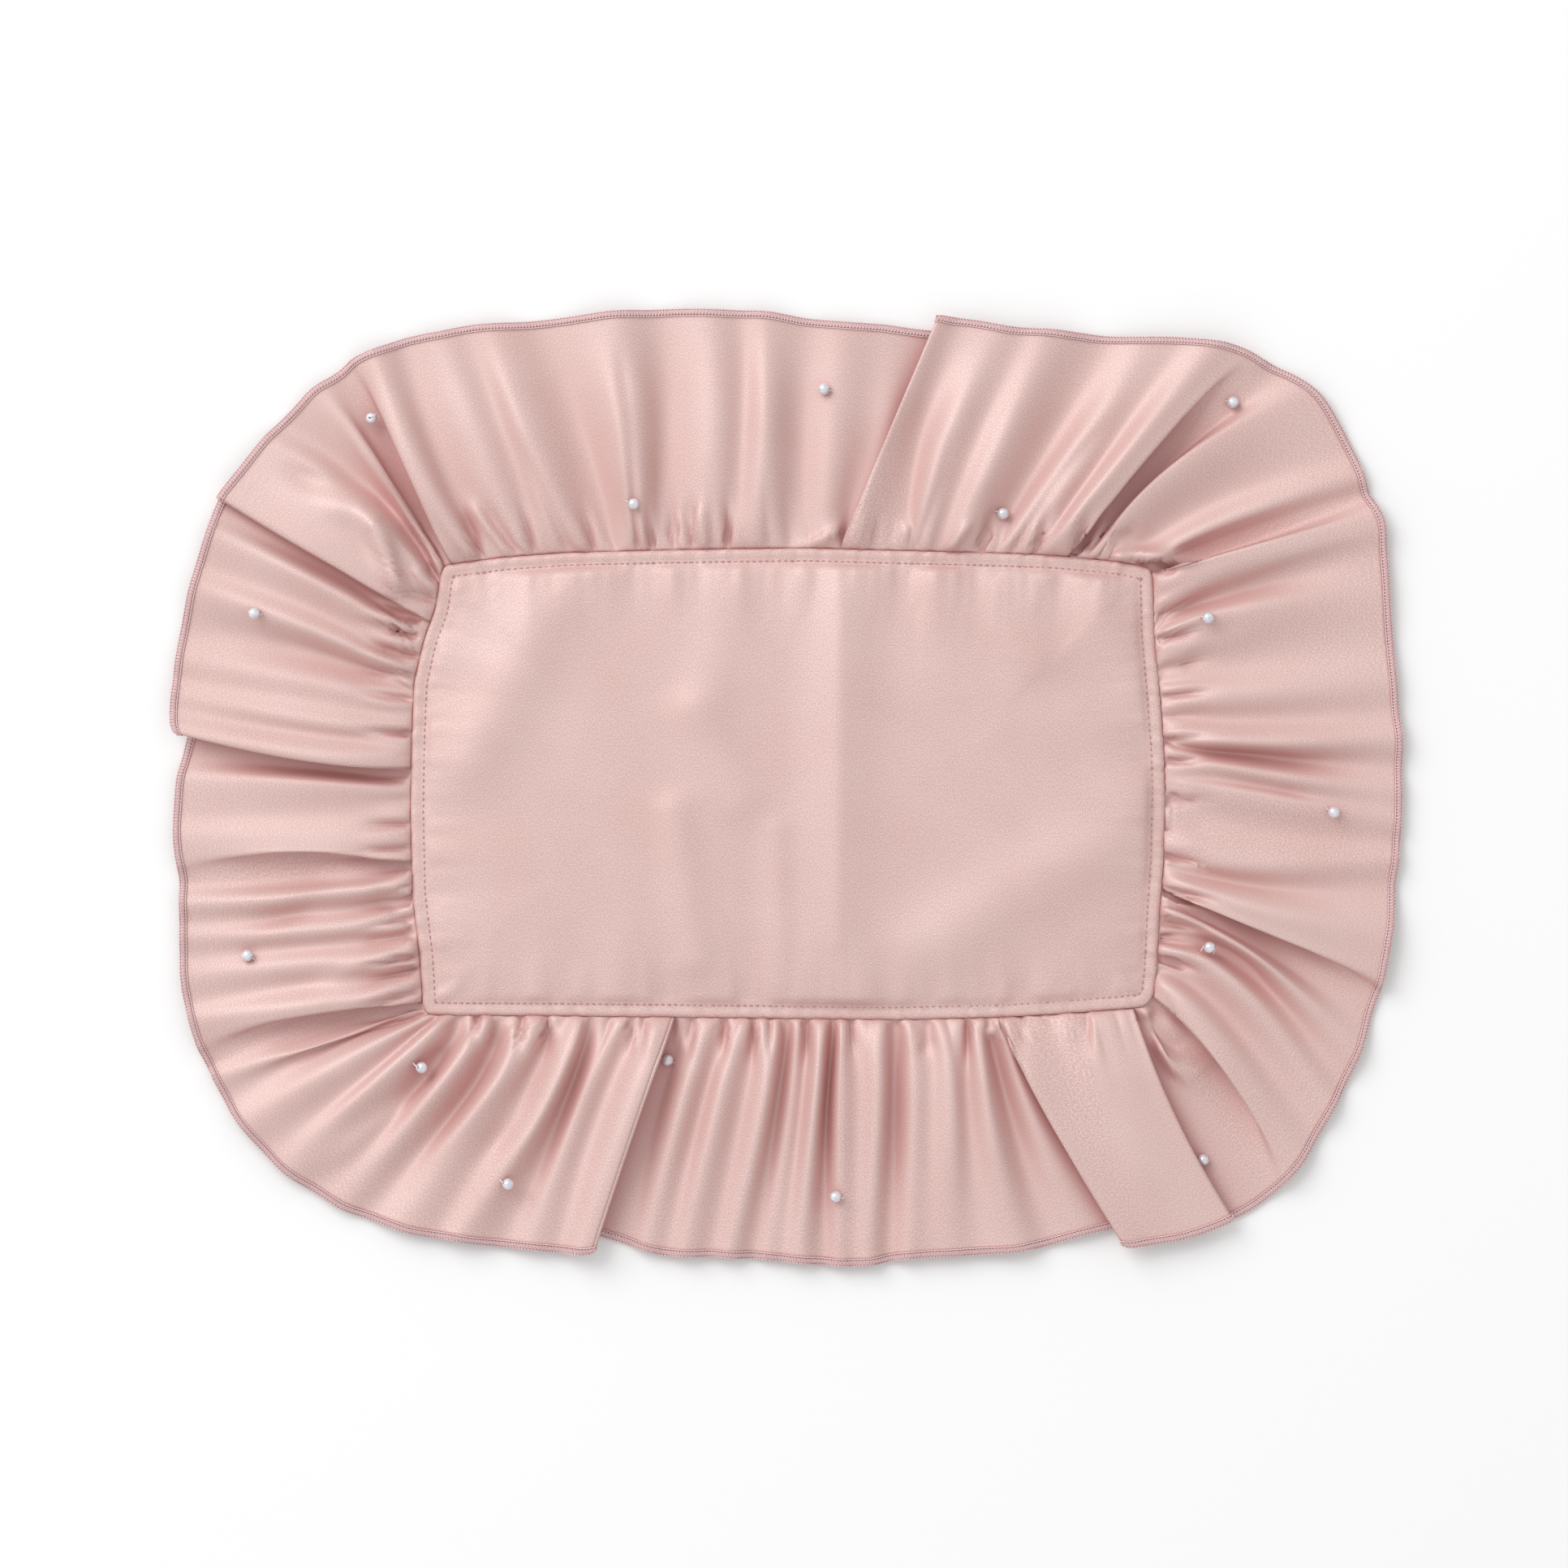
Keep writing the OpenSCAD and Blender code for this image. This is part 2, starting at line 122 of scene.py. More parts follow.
# Fold lines clockwise round the ruffle, each from the seam through the middle to the hem:
# (seam across, up), (middle across, up), (hem across, up), height in the middle, at the hem.
# Crests and valleys take turns, and where the hem's end runs back the cloth lies folded over.
FOLDS = [
    # along the top
    ((-117.5, 77.5), (-135, 108), (-153.5, 142.5), 1.5, 2),
    ((-112, 79), (-127, 111), (-151, 145), 0.5, 2),
    ((-115, 78), (-131, 109), (-148.5, 147), 7, 3.5),
    ((-109, 79), (-127, 114), (-142, 149.5), 9, 5.5),
    ((-101, 79), (-118, 112), (-132, 153.5), 3, 2),
    ((-90, 79.5), (-105, 120), (-119, 156), 6, 4),
    ((-83, 80), (-97, 121), (-111, 158), 4, 3),
    ((-75, 80), (-89, 120), (-102, 158.8), 8, 4),
    ((-59, 80.5), (-70, 118), (-85, 160), 0.8, 1),
    ((-51, 81), (-54, 122), (-59, 163), 8.5, 5),
    ((-45, 81), (-42, 122), (-44, 163.6), 1, 1.5),
    ((-27, 81), (-24, 125), (-26, 163.6), 6, 4),
    ((-19, 81.5), (-15, 125), (-16, 163.3), 3.5, 2.5),
    ((-10, 81.5), (-8, 125), (-8, 163), 7, 4),
    ((4, 81.7), (5, 122), (7, 160.5), 1, 1.5),
    ((11, 82), (16, 122), (20, 159.5), 3.5, 3),
    ((19, 82), (27, 116), (33, 158.5), 1.5, 2),
    ((25, 82), (42, 118), (58, 156.5), 0.5, 0.8),
    ((18, 82), (33.5, 120), (50.5, 161.3), 7, 6),
    ((40, 81), (44, 120), (59, 160.5), 2.5, 4),
    ((46, 81), (56, 120), (74, 158), 8, 5),
    ((51, 81), (63, 118), (81, 157.3), 5, 4),
    ((56, 81), (71, 117), (89, 157), 8, 5),
    ((66, 80.5), (85, 112), (108, 154.8), 0.8, 1.5),
    ((77, 80.5), (100, 116), (124, 154.5), 7, 4),
    ((82, 80.3), (107, 114), (133, 154.3), 5.5, 4),
    ((88, 80.2), (115, 115), (146, 153), 10.5, 6),
    ((96, 79.7), (122, 112), (157, 150), 8, 4),
    ((91, 80), (117, 115.5), (161, 148), 0.5, 3),
    ((101.5, 79), (128, 109), (167, 144), 0.3, 1.5),
    ((105, 79), (132, 111), (181, 136.5), 6, 3),
    # round the top right corner
    ((114, 77), (143, 97), (193, 117), 0.8, 1.5),
    ((120, 75.5), (150, 90), (198, 106), 4, 3),
    ((122, 74.5), (152, 86), (199, 101), 1, 1.2),
    ((124, 70.5), (156.5, 80), (200.5, 98.5), 0.5, 2),
    ((123, 73), (154.5, 83.5), (201.5, 96.5), 6.5, 4),
    ((124.2, 69), (159, 78), (204.7, 90), 7, 4.5),
    # down the right side
    ((125, 54), (150, 67), (205, 80), 1.5, 3),
    ((126, 50), (155, 60), (206, 66), 6, 3.5),
    ((126.5, 37), (152, 43), (207, 50), 2, 2.5),
    ((127, 31), (162, 32), (208.5, 36), 5, 3.5),
    ((127.7, 25), (165, 24), (209, 27), 3, 2.5),
    ((128.4, 18), (165, 15.5), (210, 17), 7.5, 4.5),
    ((128.6, 14), (165, 10), (210, 7), 1, 2),
    ((128.7, 10), (165, 4), (210, -1), 6, 3.5),
    ((128.7, 6), (165, 0), (210, -6), 3.5, 3),
    ((128.7, 2), (165, -4), (210, -12), 5, 3.5),
    ((128.5, -4), (160, -14), (209.8, -18), 1.5, 2),
    ((128.2, -20), (158, -25), (209, -24), 5, 3.5),
    ((128, -26), (165, -33), (208, -33), 2, 2),
    ((127.9, -31), (166, -43), (206, -53), 8, 5),
    ((127.8, -34.5), (163, -49.5), (203.4, -66.5), 6.5, 5),
    ((128, -31), (165.5, -45), (203, -69), 0.5, 1.5),
    ((127.2, -38), (160, -54), (200, -77), 0.4, 1.2),
    ((127, -42), (160, -58), (196, -91), 6, 3.5),
    ((126.6, -50), (156, -61), (191, -102), 0.8, 1.5),
    ((126.4, -54), (154, -67), (187, -110), 6, 3.5),
    ((126, -61), (150, -77), (182, -119), 2, 2),
    ((125, -67), (144, -83), (176, -129), 7, 4),
    ((124, -71), (146, -94), (171.5, -134), 6.5, 4),
    # round the bottom right corner
    ((125, -69), (149.5, -90), (168, -137.5), 0.6, 2),
    ((121.5, -73.5), (138, -98), (163, -141.5), 0.6, 1),
    ((119, -75.2), (133, -104), (154, -147), 0.8, 1),
    ((115, -75.6), (126, -108), (144, -151), 0.4, 0.6),
    ((118, -75.4), (131.2, -111), (152.5, -148), 6, 5),
    # along the bottom
    ((113, -76), (122, -113), (141, -152.5), 6.5, 5),
    ((101, -76.5), (108, -113), (124, -156), 5.5, 5),
    ((82, -78), (96, -114), (119, -157), 6.5, 6),
    ((71.5, -78.5), (89, -114), (114, -156.5), 7, 6),
    ((76, -78.5), (94, -112), (121, -148), 0.5, 0.8),
    ((72, -78.5), (83, -113), (101, -153), 4, 3),
    ((68, -78.8), (76, -113), (90, -156.5), 0.6, 1.5),
    ((65.5, -79), (69, -113), (79, -158.5), 7, 4.5),
    ((60, -79), (61.5, -113), (65, -159.5), 3.5, 3),
    ((54, -79), (55.5, -113), (55, -160), 6.5, 4),
    ((49, -79), (48.5, -113), (47, -160.5), 4, 3.5),
    ((42, -79), (42.5, -113), (41, -161), 5, 4),
    ((36, -79), (36.5, -112), (35, -162), 0.6, 1.5),
    ((31, -79), (29.5, -112), (27, -163.3), 7, 4.5),
    ((22, -79), (23, -112), (22, -163.5), 3.5, 3),
    ((18.5, -79), (18.5, -112), (18, -163.5), 6.5, 4),
    ((15.5, -78.8), (14, -112), (12, -163), 0.7, 2),
    ((12, -78.8), (8.5, -112), (4, -162.3), 7.5, 4.5),
    ((6, -78.6), (3.5, -112), (-3, -161.7), 2.5, 2.5),
    ((3, -78.5), (0.5, -112), (-7, -161.4), 4, 3),
    ((0, -78.5), (-3.5, -112), (-12, -161), 0.8, 1.5),
    ((-5, -78.4), (-9, -112), (-20, -160.7), 7.5, 4.5),
    ((-10, -78.3), (-17, -114), (-27, -160.4), 3.5, 2.5),
    ((-16, -78.2), (-25, -114), (-35, -160.3), 7, 4.5),
    ((-21, -78.2), (-31, -113), (-42, -160), 3, 2.5),
    ((-27, -78.1), (-37, -112), (-48, -158.5), 6, 3.5),
    ((-36, -78), (-44, -112), (-55, -156), 0.5, 1),
    ((-42, -78), (-57, -112), (-72, -151), 0.4, 0.6),
    ((-38.5, -78), (-50.5, -112), (-65.5, -158.5), 8, 6.5),
    ((-43, -78), (-55, -112), (-71, -159.5), 8.5, 6.5),
    ((-51, -77.9), (-65, -112), (-79, -158.8), 3, 3),
    ((-58, -77.8), (-72, -113), (-87, -158), 5, 4),
    ((-66.5, -77.7), (-77, -110), (-98, -157), 0.8, 2),
    ((-70.5, -77.6), (-84, -110), (-113, -155), 8, 5),
    ((-77, -77.6), (-92, -107), (-121, -154), 4, 3),
    ((-84, -77.6), (-100, -104), (-131, -152), 6.5, 4),
    ((-97, -77.6), (-111, -106), (-146, -147), 0.6, 1.5),
    ((-102, -77.6), (-117, -101), (-153, -144), 7, 3),
    ((-112, -77.5), (-127, -102), (-163, -138), 0.6, 2),
    # round the bottom left corner
    ((-116, -77.5), (-139, -100), (-172, -132), 7, 4),
    ((-119, -77.4), (-148, -101), (-180, -124), 4, 3),
    ((-121, -77.3), (-154, -96), (-186, -117), 6, 4),
    ((-123, -77), (-160, -89), (-193, -106), 2, 2),
    ((-124, -76), (-159, -85), (-197, -98), 4.5, 3),
    ((-124.3, -75.4), (-160, -83), (-198.5, -96), 0.8, 1.2),
    ((-124.8, -71.5), (-160, -74.5), (-200.2, -92), 0.5, 2),
    # up the left side
    ((-124.5, -73.6), (-160, -78), (-202, -88), 6, 3.5),
    ((-124.9, -68.5), (-160, -72), (-204.5, -79), 7.5, 4.5),
    ((-125.2, -62), (-160, -67), (-206, -74), 3.5, 3),
    ((-125.6, -57), (-165, -60), (-207.5, -65), 5.5, 3.5),
    ((-126.3, -50), (-165, -53.5), (-207.8, -57), 3, 2.5),
    ((-127, -45), (-165, -48), (-208, -51), 5.5, 3.5),
    ((-127.6, -39), (-161, -43), (-208, -46), 2.5, 2.5),
    ((-128, -33), (-160, -37), (-208, -40), 6.5, 4),
    ((-128.3, -27.5), (-158, -29), (-208.3, -32), 0.8, 1.5),
    ((-128.4, -22), (-165, -21), (-208.5, -29), 0.6, 2),
    ((-128.4, -25), (-165, -24), (-208.8, -26), 5.5, 3.5),
    ((-128.5, -17), (-165, -17), (-209.8, -17), 5.5, 4),
    ((-128.6, -9), (-165, -9), (-210, -9), 3.5, 3),
    ((-128.6, -2), (-162, 2), (-209, 3), 5, 3),
    ((-128.5, 4.5), (-165, 6.5), (-207, 11), 0.3, 0.7),
    ((-128.4, 9), (-165, 14), (-204.5, 21), 0.4, 0.6),
    ((-128.4, 7), (-165, 9.5), (-209, 18.5), 8, 7),
    ((-128.3, 10.5), (-165, 13.5), (-210.8, 22), 8.5, 6.5),
    ((-128.3, 15), (-165, 18.5), (-211, 27), 5, 4.5),
    ((-128.2, 19.5), (-165, 24), (-210.5, 33), 6.5, 4.5),
    ((-128, 24), (-165, 30), (-210, 38), 4, 3),
    ((-127.9, 27), (-165, 35), (-209.5, 42), 5, 3.5),
    ((-127.7, 33), (-163, 46), (-207.5, 54), 0.8, 1.8),
    ((-127.2, 38.5), (-164, 55.5), (-204, 70), 7, 4),
    ((-126.8, 41), (-162, 60), (-202.5, 76), 4, 2.5),
    ((-124.2, 50), (-158, 70), (-198, 89), 7, 4),
    ((-123, 54), (-158.5, 73), (-197, 93.5), 2, 2),
    ((-120.4, 60), (-154, 80.5), (-191.5, 104), 0.5, 0.8),
    ((-122, 56.5), (-157, 76.5), (-195, 99), 6.5, 4.5),
    ((-120, 62), (-154, 84), (-189, 107), 7.5, 4.5),
    ((-119.2, 67.5), (-147, 97), (-179, 120), 7, 3.5),
    ((-118.8, 71), (-143, 101.5), (-174, 125), 0.6, 1.2),
    ((-118, 75), (-144, 116), (-161, 138), 4.5, 3.5),
]
# Where the pearls are sewn on: across, up.
PEARLS_AT = [
    (-140, 127), (13, 136), (152, 132), (-53, 97), (73, 94), (-181, 60), (143, 58), (186, -8),
    (-184, -58), (143, -56), (-126, -94), (-41, -93), (-96, -134), (17, -139), (142, -127),
]
# Short creases near the seam and the crumples at the corners: a path (across, up), half width
# and height, which is negative for a valley.
CREASES = [
    (((-94, 78), (-110, 99)), 1.6, 2.4),
    (((-90, 78), (-106, 99)), 1.8, -1.8),
    (((-75, 80), (-83, 100), (-92, 121)), 1.8, -1.6),
    (((-51, 81), (-53.5, 124), (-58, 156)), 1.6, -2.2),
    (((-28.5, 80), (-30, 98)), 1.8, 2.4),
    (((-32, 80), (-35, 100)), 2.0, -1.8),
    (((44, 81), (53, 107), (57, 124)), 1.8, -1.6),
    (((54, 80), (63, 92)), 1.6, 2.2),
    (((76, 80), (90, 102), (111, 129)), 1.8, -1.6),
    (((5, 81), (20, 90)), 1.8, 2.4),
    (((38, 81), (41, 91)), 1.6, 2.0),
    (((113, 79), (120, 80), (130, 78), (142, 78)), 2.3, 4.6),
    (((112, 86), (119, 86.5)), 2.2, -1.8),
    (((121, 76), (134, 74)), 1.8, -3.0),
    (((103, 79), (105, 86), (110, 94)), 2.2, 2.4),
    (((130, 51), (146, 52.6), (156, 56)), 1.6, -1.6),
    (((127, 41), (136, 42)), 1.5, 1.6),
    (((129, 16.5), (146, 12.5), (167, 9.5), (186, 6)), 2.0, -1.2),
    (((129, 13.5), (148, 9), (167, 5.5)), 2.0, 1.2),
    (((129, 10.3), (151, 5), (167, 1.3), (184, -6)), 2.4, -1.6),
    (((128, -40), (141, -41.3), (154, -50.5), (163, -57), (173, -68)), 3.0, 1.8),
    (((127, -51), (137, -53.6), (144, -55.6), (157, -61), (168, -75)), 2.4, -2.2),
    (((127, -58), (139, -60)), 1.5, -1.6),
    (((128, -88), (133, -95), (139, -97), (147, -94)), 2.0, 4.2),
    (((125, -78), (130, -86), (135, -91)), 1.6, -2.6),
    (((123, -77), (130, -82), (135, -88)), 1.6, 2.0),
    (((65, -78), (71, -85)), 1.6, 2.0),
    (((73, -78), (68, -86)), 1.6, 1.6),
    (((47, -78), (48, -87), (45, -91)), 1.6, -2.0),
    (((-127, -76), (-146, -80), (-168, -83), (-187, -84)), 3.0, -2.4),
    (((-118, -84), (-132, -106), (-149, -123), (-163, -130)), 3.6, 2.6),
    (((-120, -90), (-127, -101), (-134, -108)), 2.6, -3.0),
    (((-94, -83), (-99, -100), (-113, -116), (-132, -135)), 3.4, 2.2),
    (((-83, -84), (-91, -113), (-105, -127)), 3.0, -2.0),
    (((-128, -28), (-145, -28), (-160, -31)), 2.6, 2.0),
    (((-129, -47), (-138, -38), (-160, -38), (-188, -50)), 3.0, -2.2),
    (((-129, -55), (-141, -60), (-165, -69)), 3.0, 2.4),
    (((-129, -50), (-146, -52.5)), 1.6, -1.6),
    (((-129, -37), (-142, -35)), 1.6, -1.6),
    (((-134, 54), (-126, 52)), 1.7, -2.0),
    (((-119, 71), (-124, 77)), 2.0, -2.4),
    (((-150, 102), (-160, 105), (-172, 109)), 3.4, -2.4),
    (((-134, 90), (-144, 93), (-162, 98)), 3.6, 2.4),
    (((-120, 68), (-125, 71), (-128, 76)), 1.7, 2.2),
    (((-141, 89), (-136, 80), (-134, 72), (-131, 62)), 2.6, 6.4),
    (((-119, 74), (-122, 79)), 1.8, 2.0),
    (((-120, 64), (-134, 68)), 1.8, -2.6),
    (((-136, -112), (-151, -122)), 1.6, 0.8),
    (((102, -77), (112, -115), (128, -150)), 6.0, 1.6),
    (((88, -78), (99, -108)), 4.0, -1.4),
    (((20, 84), (33, 112), (38, 150)), 5.0, 1.0),
]
# Places with a plain short crease: across, on the bottom and top seams, and up, on the right
# and left ones.
BOTTOM_CREASES = (102, 79.5, 61.5, 21.5, 6.4, -6, -12, -21.5, -33, -49.5, -53, -82, -91, -106)
TOP_CREASES = (-105, -86, -66, -46, -38, -20, 28, 66, 84, 97)
RIGHT_CREASES = (60, 51, 41, 31, 16.5, 9, -4, -14, -23, -35, -45, -52, -58)
LEFT_CREASES = (58, 52, 45, 38, 30, 18.5, -12, -20, -27, -37, -44, -57, -62, -69)
# Slack folds in the front panel: from (across, up), to (across, up), half width, height.
PANEL_FOLDS = [
    ((18, 73), (17, -72), 11, 3.2),
    ((18, 66), (17, -52), 3, 0.5),
    ((-74, 74), (-108, 10), 12, 3.0),
    ((48, -54), (118, -12), 13, 2.8),
    ((98, 76), (119, 38), 8, 1.8),
    ((52, 72), (84, 44), 8, 1.4),
    ((-38, -8), (-33, -58), 7, 1.8),
    ((-4, -15), (-3, -66), 5, 1.0),
    ((-32, 26), (-17, -3), 9, 1.8),
    ((-20, 70), (-26, 30), 10, 1.2),
]
# Places along the panel's top and bottom edges with a short tuck under the topstitching.
PANEL_TOP_TUCKS = (-88, -61, -40, -18, 5, 33, 50, 71, 89, 108)
PANEL_BOTTOM_TUCKS = (-102, -86, -72, -60, -48, -20, 6, 26, 41, 57, 74, 88, 103)
# Gathers along the seam: seed, spacing, how far out they fade, height.
RUFFLE_TUCKS = ((11, 7.5, 9, 2.2), (12, 13, 22, 1.7))
# The mat's four corners, clockwise from the top left.
MAT_CORNERS = ((-122, 80), (126, 80), (127, -79), (-126, -80))
MAT_MIDDLE = (0.5, 0.8)


# ---------------------------------------------------------------- curves and arrays

def unit(x):
    """Vectors along the last axis brought to length 1."""
    return x / (np.linalg.norm(x, axis=-1, keepdims=True) + 1e-9)


def smooth_step(t):
    """0 before 0, 1 after 1, and 3t^2 - 2t^3 between."""
    t = np.clip(t, 0, 1)
    return t * t * (3 - 2 * t)


def nearest(points, spot):
    """The number of the point that lies nearest to a spot."""
    return int(np.argmin(((points - np.array(spot)) ** 2).sum(axis=1)))


def blurred(values, width):
    """A Gaussian average along the first axis, which closes on itself, width samples wide."""
    reach = int(3 * width) + 1
    offsets = np.arange(-reach, reach + 1)
    weights = np.exp(-0.5 * (offsets / width) ** 2)
    weights /= weights.sum()
    places = (np.arange(len(values))[:, None] + offsets) % len(values)
    return np.tensordot(values[places], weights, axes=([1], [0]))


def arc_lengths(points):
    """The running length along a closed ring of points, ending with the whole length."""
    steps = np.linalg.norm(np.roll(points, -1, axis=0) - points, axis=1)
    return np.concatenate([[0], np.cumsum(steps)])


def taken_at(ring, along, at):
    """Rows of a closed ring at some lengths, where along is its running length."""
    columns = [np.interp(at, along, np.append(column, column[0])) for column in ring.T]
    return np.stack(columns, axis=1)


def evenly(ring, step, places=None):
    """A closed ring of rows taken anew every step mm. The length is measured on its first few
    columns, or on all of them, and the others go along."""
    along = arc_lengths(ring[:, :places])
    count = int(round(along[-1] / step))
    return taken_at(ring, along, np.linspace(0, along[-1], count, endpoint=False))


def closed_outline(corners, rounding):
    """A closed curve every STEP mm: straight runs between corners, then a Gaussian average."""
    straight = evenly(np.array(corners, float), STEP)
    return evenly(blurred(straight, rounding / STEP), STEP)


def at_length(ring, where):
    """Points of a closed outline at distances along it, whole turns left out."""
    n = len(ring)
    place = (where / STEP) % n
    low = np.floor(place).astype(int) % n
    share = (place - np.floor(place))[..., None]
    return ring[low] * (1 - share) + ring[(low + 1) % n] * share


def nearest_length(ring, point, after):
    """How far along a closed outline a point lies, within half a turn of a given distance."""
    around = len(ring) * STEP
    found = nearest(ring, point) * STEP
    return found + around * round((after - found) / around)


def inset(ring, by):
    """A closed clockwise outline moved inwards, square to itself."""
    ahead = unit(np.roll(ring, -2, axis=0) - np.roll(ring, 2, axis=0))
    return ring + by * np.stack([ahead[:, 1], -ahead[:, 0]], axis=1)


SEAM = closed_outline(SEAM_POINTS, SEAM_ROUNDING)
HEM = closed_outline(HEM_POINTS, HEM_ROUNDING)
AROUND = len(SEAM) * STEP


def puckers(along, seed, shortest, longest):
    """Uneven ripples along the sewn edge, from about -1 to 1: half the sum of five sines whose
    waves are random between two lengths in mm and fit the outline a whole number of times."""
    random = np.random.default_rng(seed)
    total = np.zeros_like(along)
    for _ in range(5):
        waves = round(AROUND / random.uniform(shortest, longest))
        total += np.sin(2 * np.pi * waves * along / AROUND + random.uniform(0, 6.3))
    return total / 2


def tucks(along, seed, spacing):
    """Gathers along the sewn edge, from 0 to 1: round ridges with narrow valleys between, which
    is a sine without its sign, unevenly spaced by a slower ripple."""
    phase = np.pi * round(AROUND / spacing) * along / AROUND
    return np.abs(np.sin(phase + 1.3 * puckers(along, seed, 4 * spacing, 9 * spacing)))


def bell(flat, path, half, fade=0):
    """A bell-shaped ridge, 1 along a path and 1/e a half width away from it. The last part of
    the path, fade long if the whole is 1, dies away smoothly."""
    least = np.full(flat.shape[:-1], 1e9)
    share = np.zeros(flat.shape[:-1])
    for part, (start, end) in enumerate(zip(path[:-1], path[1:])):
        start = np.array(start, float)
        run = np.array(end, float) - start
        t = np.clip(((flat - start) @ run) / (run @ run), 0, 1)
        off = ((flat - start - t[..., None] * run) ** 2).sum(axis=-1)
        share = np.where(off < least, (part + t) / (len(path) - 1), share)
        least = np.minimum(least, off)
    ridge = np.exp(-least / half ** 2)
    return ridge * (1 - smooth_step((share - 1 + fade) / fade)) if fade else ridge


# ---------------------------------------------------------------- the ruffle as laid

def fold_lines():
    """A row for each fold line, and the first one again after a whole turn: how far along the
    seam and the hem it is, how far its middle is off the chord and its end off the outline
    (across, up), and its heights in the middle and at the hem."""
    rows = []
    at_seam = at_hem = 0.0
    for seam, middle, hem, high, low in FOLDS:
        at_seam = nearest_length(SEAM, seam, at_seam)
        at_hem = nearest_length(HEM, hem, at_hem)
        chord = (np.array(seam) + np.array(hem)) / 2
        off = np.array(hem) - at_length(HEM, np.array(at_hem))
        rows.append([at_seam, at_hem, *(np.array(middle) - chord), *off, high, low])
    rows = np.array(rows)
    again = rows[0].copy()
    again[0] = nearest_length(SEAM, FOLDS[0][0], rows[-1, 0] + 1)
    again[1] = nearest_length(HEM, FOLDS[0][2], rows[-1, 1] + 1)
    return np.vstack([rows, again])


def fold_columns(lines, edge):
    """The fold lines' numbers at every column of the ruffle, which run evenly from line to line,
    and the same again run as half a cosine. The columns are RUFFLE_COLUMN apart at the hem."""
    ends = at_length(edge, lines[:, 1]) + lines[:, 4:6]
    gaps = np.linalg.norm(np.diff(ends, axis=0), axis=1)
    # a fold's curved side is a little longer than the straight way up it
    spans = np.sqrt(gaps ** 2 + 1.2 * np.diff(lines[:, 7]) ** 2)
    counts = np.maximum(2, np.round(spans / RUFFLE_COLUMN)).astype(int)
    if counts.sum() % 2:
        counts[np.argmax(counts)] += 1
    share = np.concatenate([np.arange(n) / n for n in counts])[:, None]
    line = np.repeat(np.arange(len(counts)), counts)
    ease = 0.5 - 0.5 * np.cos(np.pi * share)
    return [lines[line] * (1 - s) + lines[line + 1] * s for s in (share, ease)]


def add_gathers(height, along, width):
    """Adds the gathers next to the seam. Their lines sway a little on the way out, slow ripples
    make some deeper than others, and they fade in from the seam and out again."""
    sway = along + 2 * np.sin(width / 17)
    for seed, spacing, fade, tall in RUFFLE_TUCKS:
        size = 0.7 + 0.3 * puckers(along, seed + 20, 20, 60)
        gather = size * (tucks(sway, seed, spacing) - 0.6)
        height += tall * gather * (1 - np.exp(-width / 2)) * np.exp(-width / fade)


def add_creases(height, flat, width):
    """Adds the listed creases, and at each plain place a narrow valley between two lips.
    All of them start from nothing at the seam, where the cloth is caught."""
    free = 1 - np.exp(-(width / 1.6) ** 2)
    plain = [((x, -77), (x, -98)) for x in BOTTOM_CREASES]
    plain += [((x, 79), (1.07 * x, 101)) for x in TOP_CREASES]
    plain += [((127, y), (149, 1.1 * y)) for y in RIGHT_CREASES]
    plain += [((-127, y), (-150, 1.1 * y)) for y in LEFT_CREASES]
    for path, half, tall in CREASES:
        height += tall * free * bell(flat, path, half, 0.3)
    for path in plain:
        lips, valley = bell(flat, path, 3.6, 0.7), bell(flat, path, 1.6, 0.7)
        height += free * (1.9 * lips - 4.2 * valley)


def laid_ruffle():
    """The ruffle's middle surface as first laid, column after column from seam to hem. A point
    is on the straight line from seam to hem, bowed out sideways by a parabola that is greatest
    in the middle. Its height rises from the seam to the fold's, and gathers and creases are
    added."""
    edge = inset(HEM, HEM_INSET)
    even, waves = fold_columns(fold_lines(), edge)
    rows = int(round(RUFFLE_WIDTH / RUFFLE_ROW)) + 1
    v = np.linspace(0, 1, rows)[None, :, None]
    width = v * RUFFLE_WIDTH
    inner = at_length(SEAM, even[:, 0])[:, None]
    outer = (at_length(edge, even[:, 1]) + even[:, 4:6])[:, None]
    bow = even[:, None, 2:4] * 4 * v * (1 - v)
    flat = inner * (1 - v) + outer * v + bow
    high, low = waves[:, None, 6:7], waves[:, None, 7:8]
    out = smooth_step((v - 0.5) / 0.5)
    height = (high * (1 - out) + low * out) * (0.7 + 0.3 * smooth_step(v / 0.4))
    height = FLOOR + FOLD_LIFT * (height - FLOOR)
    rise = 1 - np.exp(-width / 5)
    height = SEAM_HEIGHT * (1 - rise) + height * rise
    add_gathers(height, even[:, None, :1] + 0 * v, width)
    add_creases(height[..., 0], flat, width[..., 0])
    return np.concatenate([flat, height], axis=2)


# ---------------------------------------------------------------- the ruffle as settled

def bent(x, stiffness, stride, axis):
    """One step towards flat: minus the second difference of the second difference. The first
    axis closes on itself, and the second one has free ends."""
    if axis == 0:
        second = np.roll(x, stride, 0) - 2 * x + np.roll(x, -stride, 0)
        fourth = np.roll(second, stride, 0) - 2 * second + np.roll(second, -stride, 0)
        x -= stiffness * fourth
        return
    second = np.zeros_like(x)
    second[:, stride:-stride] = x[:, 2 * stride:] - 2 * x[:, stride:-stride] + x[:, :-2 * stride]
    fourth = -2 * second
    fourth[:, stride:] += second[:, :-stride]
    fourth[:, :-stride] += second[:, stride:]
    x -= stiffness * fourth


